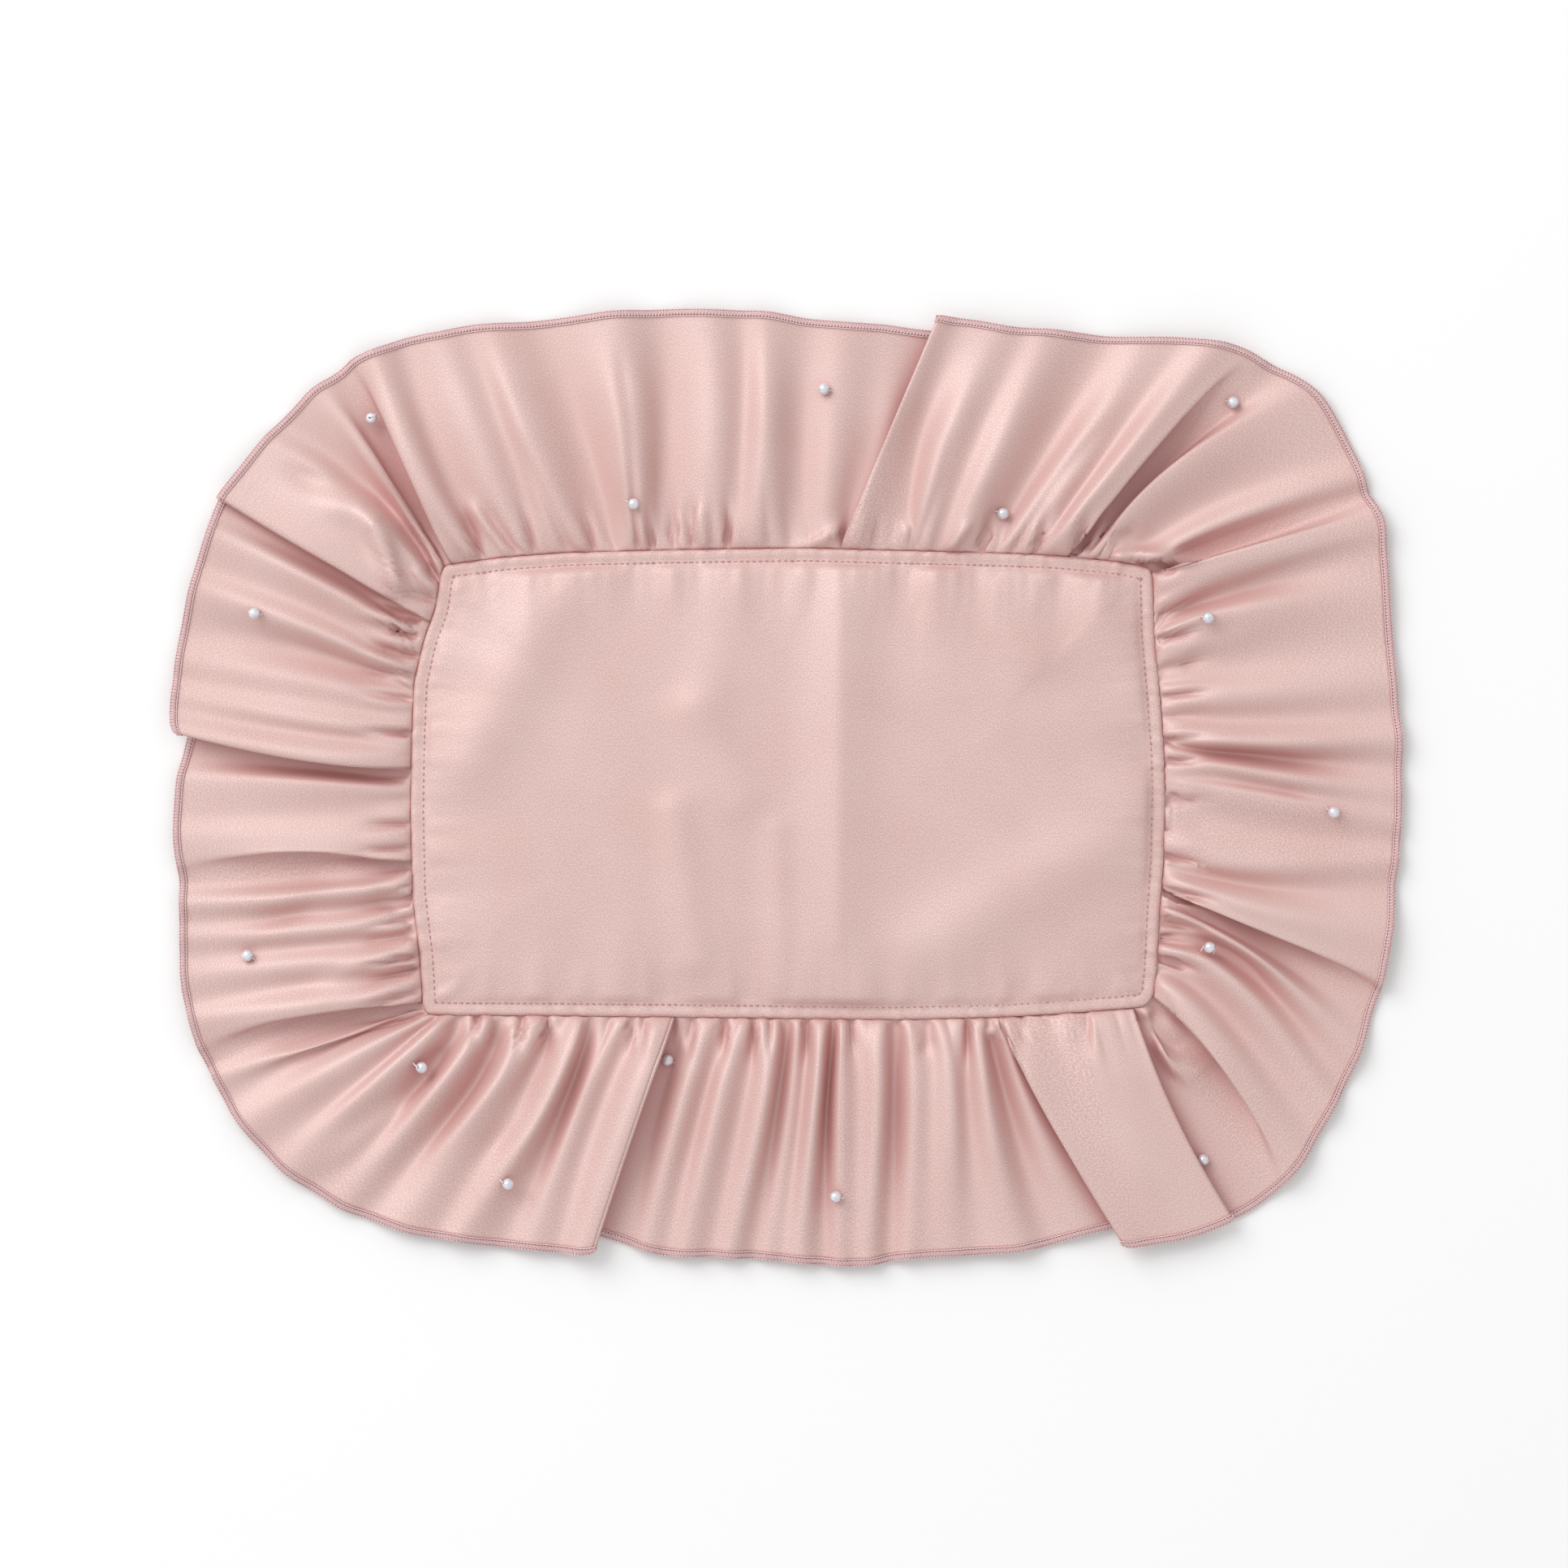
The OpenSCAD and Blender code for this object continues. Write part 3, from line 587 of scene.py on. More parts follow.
def held(a, b, rest, stretch, squeeze):
    """Moves two arrays of points towards their rest distance, half the error each, times one
    share where they are too far apart and another where they are too near."""
    gap = b - a
    length = np.sqrt((gap * gap).sum(axis=-1)) + 1e-6
    error = length - rest
    error *= np.where(error > 0, stretch, squeeze)
    move = gap * (0.5 * error / length)[..., None]
    a += move
    b -= move


def close_pairs(x, reach):
    """Pairs of points nearer than reach that aren't neighbours in the cloth: points are sorted
    into cells as wide as reach, and each point looks at its own cell and half of those round it."""
    n, rows = x.shape[:2]
    flat = x.reshape(-1, 3)
    cell = np.floor((flat - flat.min(axis=0)) / reach).astype(np.int64) + 1
    size = cell.max(axis=0) + 2
    key = (cell[:, 0] * size[1] + cell[:, 1]) * size[2] + cell[:, 2]
    order = np.argsort(key, kind="stable")
    key_sorted = key[order]
    most = np.unique(key_sorted, return_counts=True)[1].max()
    found = []
    offsets = [(i * size[1] + j) * size[2] + k
               for i in (0, 1) for j in (-1, 0, 1) for k in (-1, 0, 1)
               if (i, j, k) >= (0, 0, 0)]
    index = np.arange(len(flat))
    for offset in offsets:
        start = np.searchsorted(key_sorted, key + offset)
        end = np.searchsorted(key_sorted, key + offset, side="right")
        for m in range(most):
            full = start + m < end
            a = index[full]
            if not len(a):
                break
            b = order[(start + m)[full]]
            if offset == 0:
                once = a < b
                a, b = a[once], b[once]
            across = np.abs(a // rows - b // rows)
            across = np.minimum(across, n - across)
            down = np.abs(a % rows - b % rows)
            other = np.maximum(across, down) > 2
            a, b = a[other], b[other]
            gap = flat[a] - flat[b]
            near = (gap * gap).sum(axis=1) < reach * reach
            found.append(np.stack([a[near], b[near]]))
    return np.concatenate(found, axis=1)


def apart(x, pairs, gap):
    """Pushes each close pair out to the gap, sharing the moves of a point evenly."""
    flat = x.reshape(-1, 3)
    a, b = pairs
    way = flat[b] - flat[a]
    length = np.sqrt((way * way).sum(axis=1)) + 1e-6
    short = np.maximum(gap - length, 0)
    hit = short > 0
    a, b, way = a[hit], b[hit], way[hit]
    move = way * (0.5 * short[hit] / length[hit])[:, None]
    count = np.bincount(a, minlength=len(flat)) + np.bincount(b, minlength=len(flat))
    count = np.maximum(count, 1)
    for k in range(3):
        push = np.bincount(b, move[:, k], len(flat)) - np.bincount(a, move[:, k], len(flat))
        flat[:, k] += push / count


def settled(laid):
    """Lets the laid ruffle settle as cloth by position based dynamics. Each round carries on
    part of the last move, lets gravity pull, and then puts right the lengths along, across and
    on the skew, the stiffness to bending, the floor, the seam and the layers that touch. A weak
    hold draws each point back to where it was laid, and stiffness grows away from the seam."""
    v = np.linspace(0, 1, laid.shape[1])
    x = laid.astype(np.float32)
    seam = x[:, :2].copy()
    guide = x.copy()
    rest_along = 1.02 * np.linalg.norm(np.roll(x, -1, axis=0) - x, axis=2)
    rest_out = blurred(np.linalg.norm(np.diff(x, axis=1), axis=2), 1.5).astype(np.float32)
    skew = np.sqrt(((rest_along[:, :-1] + rest_along[:, 1:]) / 2) ** 2 + rest_out ** 2)
    stiff = (0.03 + 0.4 * smooth_step((v - 0.1) / 0.4))[None, :, None].astype(np.float32)
    hold = np.where(v < 1, 0.004, 0.02)[None, :, None].astype(np.float32)
    hold = hold * np.array([3, 3, 12], np.float32)
    before = x.copy()
    for turn in range(SETTLE_TURNS):
        if turn % PAIR_TURNS == 0:
            pairs = close_pairs(x, LAYER_GAP + PAIR_MARGIN)
        step = np.clip(x - before, -FASTEST, FASTEST) * CARRIED_ON
        before = x.copy()
        x += step
        x[..., 2] -= GRAVITY
        x += (guide - x) * hold
        for _ in range(2):
            for s in (0, 1):
                ring = np.roll(x, -s, axis=0)
                rest = np.roll(rest_along, -s, axis=0)
                held(ring[0::2], ring[1::2], rest[0::2], 1.0, 1.0)
                x = np.roll(ring, s, axis=0)
            for s in (0, 1):
                held(x[:, s:-1:2], x[:, s + 1::2], rest_out[:, s::2], 1.0, 0.5)
            for s in (0, 1):
                ring = np.roll(x, -s, axis=0)
                rest = np.roll(skew, -s, axis=0)
                held(ring[0::2, :-1], ring[1::2, 1:], rest[0::2], 0.2, 0.0)
                held(ring[0::2, 1:], ring[1::2, :-1], rest[0::2], 0.2, 0.0)
                x = np.roll(ring, s, axis=0)
            x[:, :2] = seam
        for stiffness, stride, axis in ((0.05, 1, 0), (0.03, 2, 0), (0.05, 1, 1), (0.05, 3, 1)):
            bent(x, stiff * stiffness, stride, axis)
        apart(x, pairs, LAYER_GAP)
        x[:, :2] = seam
        x[..., 2] = np.maximum(x[..., 2], FLOOR)
    return x


# ---------------------------------------------------------------- materials

def linear(code):
    """An sRGB hex colour as linear red, green, blue and alpha."""
    parts = [int(code[i:i + 2], 16) / 255 for i in (1, 3, 5)]
    return [c / 12.92 if c <= 0.04045 else ((c + 0.055) / 1.055) ** 2.4 for c in parts] + [1]


def node(tree, kind, links=(), stops=(), **settings):
    """Adds a node. Links are (input, socket it comes from), stops are a colour ramp's (place,
    hex colour), and settings are inputs, as in_Name or in_number, or properties."""
    made = tree.nodes.new(kind)
    for key, value in settings.items():
        if key.startswith("in_"):
            name = key[3:]
            made.inputs[int(name) if name.isdigit() else name].default_value = value
        else:
            setattr(made, key, value)
    for key, socket in links:
        tree.links.new(socket, made.inputs[key])
    if stops:
        points = made.color_ramp.elements
        while len(points) < len(stops):
            points.new(0.5)
        for point, (place, colour) in zip(points, stops):
            point.position = place
            point.color = linear(colour)
    return made


def new_material(name, sockets):
    """A node material, and its Principled shader with the sockets set that are even all over."""
    material = bpy.data.materials.new(name)
    material.use_nodes = True
    shader = material.node_tree.nodes["Principled BSDF"]
    for socket, value in sockets.items():
        shader.inputs[socket].default_value = value
    return material, material.node_tree, shader


def satin():
    """Polyester duchess satin: long warp floats give a soft, slightly metallic shine that
    spreads across the folds, and a fine sparkle where single threads catch the light. Its base
    colour also holds painted shade: a darker, deeper rose where the cloth lies hemmed in by folds."""
    material, tree, shader = new_material("polyester_duchess_satin", {
        "Metallic": 0.12, "IOR": 1.6, "Specular IOR Level": 0.85,
        "Sheen Weight": 0.25, "Sheen Roughness": 0.4, "Sheen Tint": linear("#efd2cb")})
    place = node(tree, "ShaderNodeUVMap", uv_map="cloth").outputs[0]
    # threads are 0.08 mm; they are drawn 0.33 mm across and 0.53 mm long so that they show
    threads = node(tree, "ShaderNodeMapping", [("Vector", place)], in_Scale=(3000, 1900, 1))
    grain = node(tree, "ShaderNodeTexNoise", [("Vector", threads.outputs[0])], in_Scale=1.0,
                 in_Detail=2.0, in_Roughness=0.6, noise_dimensions="2D")
    cloud = node(tree, "ShaderNodeTexNoise", [("Vector", place)], in_Scale=28.0,
                 in_Detail=3.0, noise_dimensions="2D")
    # painted shade: where ambient occlusion finds the cloth hemmed in by folds, the base colour
    #     turns a darker, deeper rose, standing in for light that has gone from fold to fold
    fold_occlusion = node(tree, "ShaderNodeAmbientOcclusion", samples=6, in_Distance=0.014)
    painted_shade_share = node(tree, "ShaderNodeMapRange", [("Value", fold_occlusion.outputs["AO"])], in_1=0.3,
                 in_2=0.9, in_3=0.0, in_4=1.0)
    tone = node(tree, "ShaderNodeValToRGB", [("Fac", grain.outputs[0])],
                stops=[(0.36, "#cdaba6"), (0.5, "#d6b6b1"), (0.64, "#e5cbc5")])
    drift = node(tree, "ShaderNodeMix", [("Factor", cloud.outputs[0]), (6, tone.outputs[0])],
                 data_type="RGBA", blend_type="MULTIPLY", in_7=linear("#f4eae8"))
    # painted shade: the base colour is mixed toward the darker rose #c9938f in the shaded folds
    painted_fold_shade = node(tree, "ShaderNodeMix", [("Factor", painted_shade_share.outputs[0]), (7, drift.outputs[2])],
                data_type="RGBA", in_6=linear("#c9938f"))
    gloss = node(tree, "ShaderNodeMapRange", [("Value", grain.outputs[0])], in_1=0.3, in_2=0.7,
                 in_3=0.6, in_4=0.5)
    relief = node(tree, "ShaderNodeBump", [("Height", grain.outputs[0])], in_Strength=0.25,
                  in_Distance=0.00005)
    tree.links.new(painted_fold_shade.outputs[2], shader.inputs["Base Color"])
    tree.links.new(gloss.outputs[0], shader.inputs["Roughness"])
    tree.links.new(relief.outputs[0], shader.inputs["Normal"])
    return material


def flecked(name, sockets, scale, detail, stops, relief=0):
    """A material whose colour drifts between the stops by a noise of so many waves a metre, with
    the same noise as relief if there is any."""
    material, tree, shader = new_material(name, sockets)
    place = node(tree, "ShaderNodeTexCoord").outputs["Object"]
    flecks = node(tree, "ShaderNodeTexNoise", [("Vector", place)], in_Scale=scale,
                  in_Detail=detail)
    tone = node(tree, "ShaderNodeValToRGB", [("Fac", flecks.outputs[0])], stops=stops)
    tree.links.new(tone.outputs[0], shader.inputs["Base Color"])
    if relief:
        bump = node(tree, "ShaderNodeBump", [("Height", flecks.outputs[0])], in_Strength=relief,
                    in_Distance=0.00005)
        tree.links.new(bump.outputs[0], shader.inputs["Normal"])
    return material


def thread_material(name, dark, light, scale):
    """Spun polyester thread: short fibres twisted together, which give fine light and dark
    flecks and a slightly fuzzy surface with a soft sheen."""
    return flecked(name, {"Roughness": 0.5, "Sheen Weight": 0.3}, scale, 2.0,
                   [(0.35, dark), (0.65, light)], 0.5)


def pearl_material():
    """Pearl-lacquered acrylic bead: a pale silvery white body that dimly mirrors the cloth round
    its rim, and a clear coat that gives a soft bright spot."""
    sockets = {"Metallic": 0.45, "Roughness": 0.28, "Coat Weight": 0.6, "Coat Roughness": 0.12}
    return flecked("pearl_lacquered_acrylic", sockets, 900.0, 2.0,
                   [(0.3, "#eceef2"), (0.7, "#d3d2dc")])


def wadding_material():
    """Polyester wadding: matt white fibres, tangled, with soft lumps."""
    return flecked("polyester_wadding", {"Roughness": 0.9}, 400.0, 6.0,
                   [(0.3, "#dedcd8"), (0.7, "#f6f5f2")])


SATIN = satin()
SEWING_THREAD = thread_material("spun_polyester_sewing_thread", "#a87c7e", "#c69b9a", 6000)
OVERLOCK_THREAD = thread_material("bulked_polyester_overlock_thread", "#caa0a2", "#ebd0ce", 5000)
BEAD_THREAD = thread_material("waxed_white_bead_thread", "#d9cfd2", "#f2ecee", 6000)
PEARL_COAT = pearl_material()
WADDING = wadding_material()


# ---------------------------------------------------------------- meshes

def placed(name, data):
    """A new object in the scene."""
    made = bpy.data.objects.new(name, data)
    bpy.context.scene.collection.objects.link(made)
    return made


def new_mesh(name, points, faces, material, stands_for=None):
    """A piece with its points in millimetres, smooth shaded, on the only body. It may stand
    for a CAD node, which is then hidden."""
    mesh = bpy.data.meshes.new(name)
    points = np.asarray(points, np.float32).reshape(-1, 3) * MM
    faces = np.asarray(faces, np.int32)
    mesh.vertices.add(len(points))
    mesh.vertices.foreach_set("co", points.ravel())
    mesh.loops.add(faces.size)
    mesh.loops.foreach_set("vertex_index", faces.ravel())
    mesh.polygons.add(len(faces))
    mesh.polygons.foreach_set("loop_start", np.arange(0, faces.size, faces.shape[1]))
    mesh.update(calc_edges=True)
    mesh.polygons.foreach_set("use_smooth", np.ones(len(faces), bool))
    mesh.materials.append(material)
    piece = placed(name, mesh)
    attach(piece, "root")
    if stands_for:
        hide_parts(stands_for)
    return piece


def grid_quads(rows, columns):
    """The quads of a grid of points held row after row."""
    r = np.arange(rows - 1)[:, None]
    c = np.arange(columns - 1)[None, :]
    a = r * columns + c
    b = (r + 1) * columns + c
    return np.stack([a, a + 1, b + 1, b], axis=-1).reshape(-1, 4)


def uv_map(piece, u, v, faces):
    """Lays a UV map called cloth on a piece, in metres of cloth."""
    layer = piece.data.uv_layers.new(name="cloth")
    corner = np.stack([np.ravel(u), np.ravel(v)], axis=1)[faces.ravel()]
    layer.data.foreach_set("uv", (corner * MM).astype(np.float32).ravel())


def satin_sheet(name, points, faces, u, v, stands_for, **laid):
    """A sheet of satin given its thickness: u and v are the points' places on the flat cloth."""
    piece = new_mesh(name, points, faces, SATIN, stands_for)
    uv_map(piece, u, v, faces)
    wall = piece.modifiers.new("thickness", "SOLIDIFY")
    wall.thickness = CLOTH * MM
    wall.offset = 0


def tube(path, radius, sides, closed=False, up=(0, 0, 1)):
    """Rings of points round a path, or round each of several: circles square to the way ahead.
    Radius is one number, or one for each point of a path."""
    if closed:
        ahead = unit(np.roll(path, -1, axis=0) - np.roll(path, 1, axis=0))
    else:
        ahead = unit(np.gradient(path, axis=-2))
    side = unit(np.cross(ahead, up))
    rise = np.cross(side, ahead)
    angle = np.arange(sides)[:, None] / sides * 2 * np.pi
    circle = np.cos(angle) * side[..., None, :] + np.sin(angle) * rise[..., None, :]
    return path[..., None, :] + np.asarray(radius)[..., None, None] * circle


def tube_faces(rings, sides, closed=False):
    """Quads of a tube held as rings of sides points, the last side closing on the first."""
    r = np.arange(rings if closed else rings - 1)[:, None]
    c = np.arange(sides)[None, :]
    a = r * sides + c
    b = (r + 1) % rings * sides + c
    a2 = r * sides + (c + 1) % sides
    b2 = (r + 1) % rings * sides + (c + 1) % sides
    return np.stack([a, b, b2, a2], axis=-1).reshape(-1, 4)


def thread_piece(name, path, radius, material, stands_for=None, closed=True):
    """A thread along a path as a piece, its ends drawn in almost to a point unless closed."""
    if not closed:
        radius = np.full(len(path), radius)
        radius[[0, -1]] = 0.001
    faces = tube_faces(len(path), THREAD_SIDES, closed)
    rings = tube(path, radius, THREAD_SIDES, closed)
    new_mesh(name, rings, faces, material, stands_for)


# ---------------------------------------------------------------- ruffle and hem

def ruffle_strip(name, cloth, first, last, stands_for):
    """One of the two strips of the ruffle: the columns from first to last, as a sheet."""
    part = cloth[np.arange(first, last + 1) % len(cloth)]
    columns, rows = part.shape[:2]
    steps = np.linalg.norm(np.diff(part[:, -1], axis=0), axis=1)
    along = np.concatenate([[0], np.cumsum(steps)])
    u, v = np.meshgrid(along, np.linspace(0, RUFFLE_WIDTH, rows), indexing="ij")
    satin_sheet(name, part, grid_quads(columns, rows)[:, ::-1], u, v, stands_for,
                flat=RUFFLE_FLAT, held="gathered", rests_on=["back_panel_satin"])


def cloth_frames(cloth):
    """Outward direction in the cloth and the cloth's upward normal, for every point."""
    outward = unit(np.gradient(cloth, axis=1))
    along = unit(np.roll(cloth, -1, axis=0) - np.roll(cloth, 1, axis=0))
    return outward, unit(np.cross(along, outward))


def hem_edge(cloth, step):
    """The cloth's edge every step mm: its points, and there the directions outwards and up."""
    outward, normal = cloth_frames(cloth)
    rows = np.hstack([cloth[:, -1], outward[:, -1], normal[:, -1]])
    edge, out, up = np.split(evenly(rows, step, 3), 3, axis=1)
    return edge, unit(out), unit(up)


def rolled_hem(cloth):
    """The hem rolled twice to a narrow band: a flattened tube along the cloth's edge, whose
    section is an ellipse."""
    edge, out, up = hem_edge(cloth, 1.0)
    angle = np.arange(HEM_SIDES)[None, :, None] / HEM_SIDES * 2 * np.pi
    rings = ((edge + out * HEM_SHIFT)[:, None] - np.cos(angle) * out[:, None] * HEM_WIDTH / 2
             + np.sin(angle) * up[:, None] * HEM_THICKNESS / 2)
    rings[..., 2] = np.maximum(rings[..., 2], HEM_FLOOR)
    faces = tube_faces(len(edge), HEM_SIDES, True)[:, ::-1]
    piece = new_mesh("rolled_hem", rings, faces, SATIN)
    u, v = np.meshgrid(np.arange(len(edge)), 0.8 * np.arange(HEM_SIDES), indexing="ij")
    uv_map(piece, u, v, faces)


def overlocking(cloth):
    """The overlock thread over the hem: a zigzag with four points to a pitch, from the inside of
    the roll over its top to the outside and back, and a chain along either side."""
    edge, out, up = hem_edge(cloth, OVERLOCK_PITCH / 4)
    count = len(edge) - len(edge) % 4
    edge, out, up = edge[:count], out[:count], up[:count]
    phase = np.arange(count) % 4
    across = np.array([-1.0, -0.35, 1.0, 0.35])[phase] * (HEM_WIDTH / 2 + 0.15) + HEM_SHIFT
    lift = np.array([0.30, 0.62, 0.1, 0.62])[phase]
    path = edge + out * across[:, None] + up * lift[:, None]
    thread_piece("overlock_needle_thread", path, OVERLOCK_RADIUS, OVERLOCK_THREAD)
    for name, place, height, stands_for in (
            ("overlock_inner_chain", -HEM_WIDTH / 2 + 0.1, 0.45, "hem_overlock_thread"),
            ("overlock_outer_chain", HEM_WIDTH / 2 + 0.2, 0.2, None)):
        path = (edge + out * place + up * height)[::2]
        thread_piece(name, path, CHAIN_RADIUS, OVERLOCK_THREAD, stands_for)


# ---------------------------------------------------------------- pearls

def pearl(number, middle, bore, side, lean):
    """A ball cut by its bore: half a circle, less the bore, turned about the bore's axis."""
    start = math.asin(PEARL_BORE / PEARL)
    arc = np.linspace(start, math.pi - start, 13)
    profile = np.column_stack([-np.cos(arc), np.sin(arc)]) * PEARL / 2
    profile = np.vstack([profile, profile[[-1, 0]] * [0.9, 1.0]])[..., None]
    turn = np.arange(PEARL_SIDES)[:, None] / PEARL_SIDES * 2 * np.pi
    spokes = np.cos(turn) * side + np.sin(turn) * lean
    rings = middle + profile[:, :1] * bore + profile[:, 1:] * spokes
    faces = tube_faces(len(profile), PEARL_SIDES, True)[:, ::-1]
    new_mesh(f"pearl_bead_{number:02d}", rings, faces, PEARL_COAT,
             f"pearl_{number:02d}")


def pearl_stitch(number, middle, bore, side, lean):
    """The thread of a pearl: up through the cloth beside it, through the bore and down again."""
    half = PEARL / 2
    way_down = np.array([(half * 0.5, 0), (half + 0.15, -0.15), (half + 0.3, -half * 0.6),
                         (half + 0.35, -half - 0.5)])
    route = np.vstack([way_down[::-1] * [-1, 1], way_down])
    path = middle + route[:, :1] * bore + route[:, 1:] * lean
    at = np.linspace(0, len(path) - 1, 22)
    path = np.stack([np.interp(at, np.arange(len(path)), path[:, k]) for k in range(3)], axis=1)
    radius = np.r_[0.02, np.full(len(at) - 2, BEAD_THREAD_RADIUS), 0.02]
    new_mesh(f"pearl_sewing_{number:02d}", tube(path, radius, 6, up=side),
             tube_faces(len(at), 6), BEAD_THREAD, f"pearl_thread_{number:02d}")


def pearls(cloth):
    """Stands each pearl on the uppermost layer of the cloth at its place, square to the cloth,
    with its bore turned a little from one pearl to the next, and sews it on."""
    points = cloth.reshape(-1, 3)
    normals = cloth_frames(cloth)[1].reshape(-1, 3)
    for number, (across, up) in enumerate(PEARLS_AT, start=1):
        near = ((points[:, :2] - np.array([across, up])) ** 2).sum(axis=1)
        close = np.where(near < PEARL_FOOT ** 2)[0]
        top = close[points[close, 2] > points[close, 2].max() - 1.0]
        spot = np.array([across, up, points[top, 2].mean()])
        lean = unit(normals[top].mean(axis=0))
        bore = unit(np.cross(lean, np.array([0.45 - 0.1 * (number % 4), 1.0, 0.0])))
        side = np.cross(lean, bore)
        middle = spot + lean * (PEARL / 2 + CLOTH / 2)
        pearl(number, middle, bore, side, lean)
        pearl_stitch(number, middle, bore, side, lean)


# ---------------------------------------------------------------- the mat

def mat_grid(columns, rows, by=0):
    """A Coons patch in the mat's outline moved in by some mm: each point blends the opposite
    sides evenly and takes off the four corners' own blend."""
    ring = inset(SEAM, by)
    corners = [nearest(ring, corner) for corner in MAT_CORNERS]

    def side(start, end, count):
        places = start + np.linspace(0, (end - start) % len(ring), count)
        return at_length(ring, STEP * places)

    a, b, c, d = corners
    top, right = side(a, b, columns), side(b, c, rows)
    bottom, left = side(c, d, columns)[::-1], side(d, a, rows)[::-1]
    u = np.linspace(0, 1, columns)[None, :, None]
    v = np.linspace(0, 1, rows)[:, None, None]
    return (top[None] * (1 - v) + bottom[None] * v + left[:, None] * (1 - u)
            + right[:, None] * u - (1 - u) * (1 - v) * top[0] - u * (1 - v) * top[-1]
            - (1 - u) * v * bottom[0] - u * v * bottom[-1])


def edge_distance(flat):
    """How far each point lies in from the sewn edge, and how far along the edge that is."""
    points = flat.reshape(-1, 2)
    every, batch = 4, 4000
    ring = SEAM[::every]
    distance = np.empty(len(points))
    along = np.empty(len(points))
    for first in range(0, len(points), batch):
        some = slice(first, first + batch)
        gap = ((points[some, None] - ring[None]) ** 2).sum(axis=2)
        distance[some] = np.sqrt(gap.min(axis=1))
        along[some] = gap.argmin(axis=1) * every * STEP
    return distance.reshape(flat.shape[:-1]), along.reshape(flat.shape[:-1])


def panel_height(flat):
    """The front panel's height, and how far in from the edge it is: a flat flange, a groove
    under the topstitching, a soft rise to the crown, puckers that fade from the edge, the slack
    folds as bell-shaped ridges, and short tucks of uneven size from the long edges."""
    distance, along = edge_distance(flat)
    deep = np.maximum(distance - FLANGE, 0)
    inside = smooth_step(deep / 3)
    height = RIM_TOP + CROWN * (1 - np.exp(-deep / CROWN_REACH))
    height -= GROOVE_DEPTH * np.exp(-((distance - FLANGE) / GROOVE_HALF) ** 2)
    height += inside * 0.26 * puckers(along, 3, 5, 12) * np.exp(-deep / 7)
    height += inside * 0.60 * puckers(along, 4, 14, 32) * np.exp(-deep / 22)
    height += (1 - inside) * 0.2 * puckers(along + 3, 5, 4, 10)
    for start, end, half, tall in PANEL_FOLDS:
        height += inside * tall * bell(flat, (start, end), half)
    for side, places in ((1, PANEL_TOP_TUCKS), (-1, PANEL_BOTTOM_TUCKS)):
        for k, x in enumerate(places):
            path = (x, 77 * side), (0.97 * x - 3 + 2 * (k % 4), (42 + 7 * (k % 3)) * side)
            height += inside * (0.7 + 0.25 * (k % 3)) * bell(flat, path, 3.6 + k % 2, 0.9)
    return height, distance


def rolled(flat, height, brim, drop):
    """Adds two rings of points round a grid's edge, so that it turns in to the seam: the first
    just outside at the brim's height, and the second further in and lower by the drop."""
    grid = np.concatenate([flat, height[..., None]], axis=2)
    grid = np.pad(grid, ((2, 2), (2, 2), (0, 0)), mode="edge")
    inward = unit(np.array(MAT_MIDDLE) - grid[..., :2])
    first = np.zeros(grid.shape[:2], bool)
    first[[1, -2], 1:-1] = True
    first[1:-1, [1, -2]] = True
    second = np.zeros_like(first)
    second[[0, -1], :] = True
    second[:, [0, -1]] = True
    grid[..., 2] = np.where(first, brim, np.where(second, brim - drop, grid[..., 2]))
    grid[..., :2] += inward * (1.6 * second - 0.25 * first)[..., None]
    return grid


def front_panel():
    """The satin front: the mat grid at panel_height, its edge rolled under to the seam."""
    flat = mat_grid(170, 112)
    height, distance = panel_height(flat)
    height -= 0.35 * np.exp(-distance / 0.5)
    grid = rolled(flat, height, brim=RIM_TOP - 0.9, drop=0.15)
    satin_sheet("front_panel_satin", grid, grid_quads(*grid.shape[:2])[:, ::-1],
                grid[..., 0], grid[..., 1], "front_panel",
                flat=PANEL_FLAT, held="stretched", rests_on=["wadding_pad"])


def back_panel():
    """The satin back: the same grid, flat on the floor, its edge rolled up to the seam."""
    flat = mat_grid(120, 80)
    distance, along = edge_distance(flat)
    ripple = 0.06 * puckers(along, 8, 5, 15) * np.exp(-distance / 8)
    height = np.maximum(0.3 + 0.25 * np.exp(-distance / 2) + ripple, 0.25)
    grid = rolled(flat, height, brim=0.75, drop=-0.1)
    satin_sheet("back_panel_satin", grid, grid_quads(*grid.shape[:2]),
                grid[..., 0], -grid[..., 1], "back_panel",
                flat=PANEL_FLAT, held="stretched", rests_on=["wadding_pad"])


def wadding_pad():
    """The thin pad inside: a closed form from its floor up to just under the front, which thins
    to a round edge as a quarter ellipse does."""
    flat = mat_grid(90, 60, PADDING_INSET)
    height, distance = panel_height(flat)
    thin = np.sqrt(1 - np.clip((PADDING_FULL - distance) / PADDING_ROUND, 0, 1) ** 2)
    middle = (height - PADDING_GAP + PADDING_FLOOR) / 2
    half = (height - PADDING_GAP - PADDING_FLOOR) / 2 * thin
    top, low = [np.concatenate([flat, (middle + way * half)[..., None]], axis=2).reshape(-1, 3)
                for way in (1, -1)]
    rows, columns = flat.shape[:2]
    faces = grid_quads(rows, columns)
    size = rows * columns
    index = np.arange(size).reshape(rows, columns)
    rim = np.concatenate([index[0, :-1], index[:-1, -1], index[-1, :0:-1], index[:0:-1, 0]])
    wall = np.stack([rim, np.roll(rim, -1), np.roll(rim, -1) + size, rim + size], axis=1)
    faces = np.vstack([faces[:, ::-1], faces + size, wall])
    piece = new_mesh("wadding_pad", np.vstack([top, low]), faces, WADDING, "wadding")


# ---------------------------------------------------------------- sewing

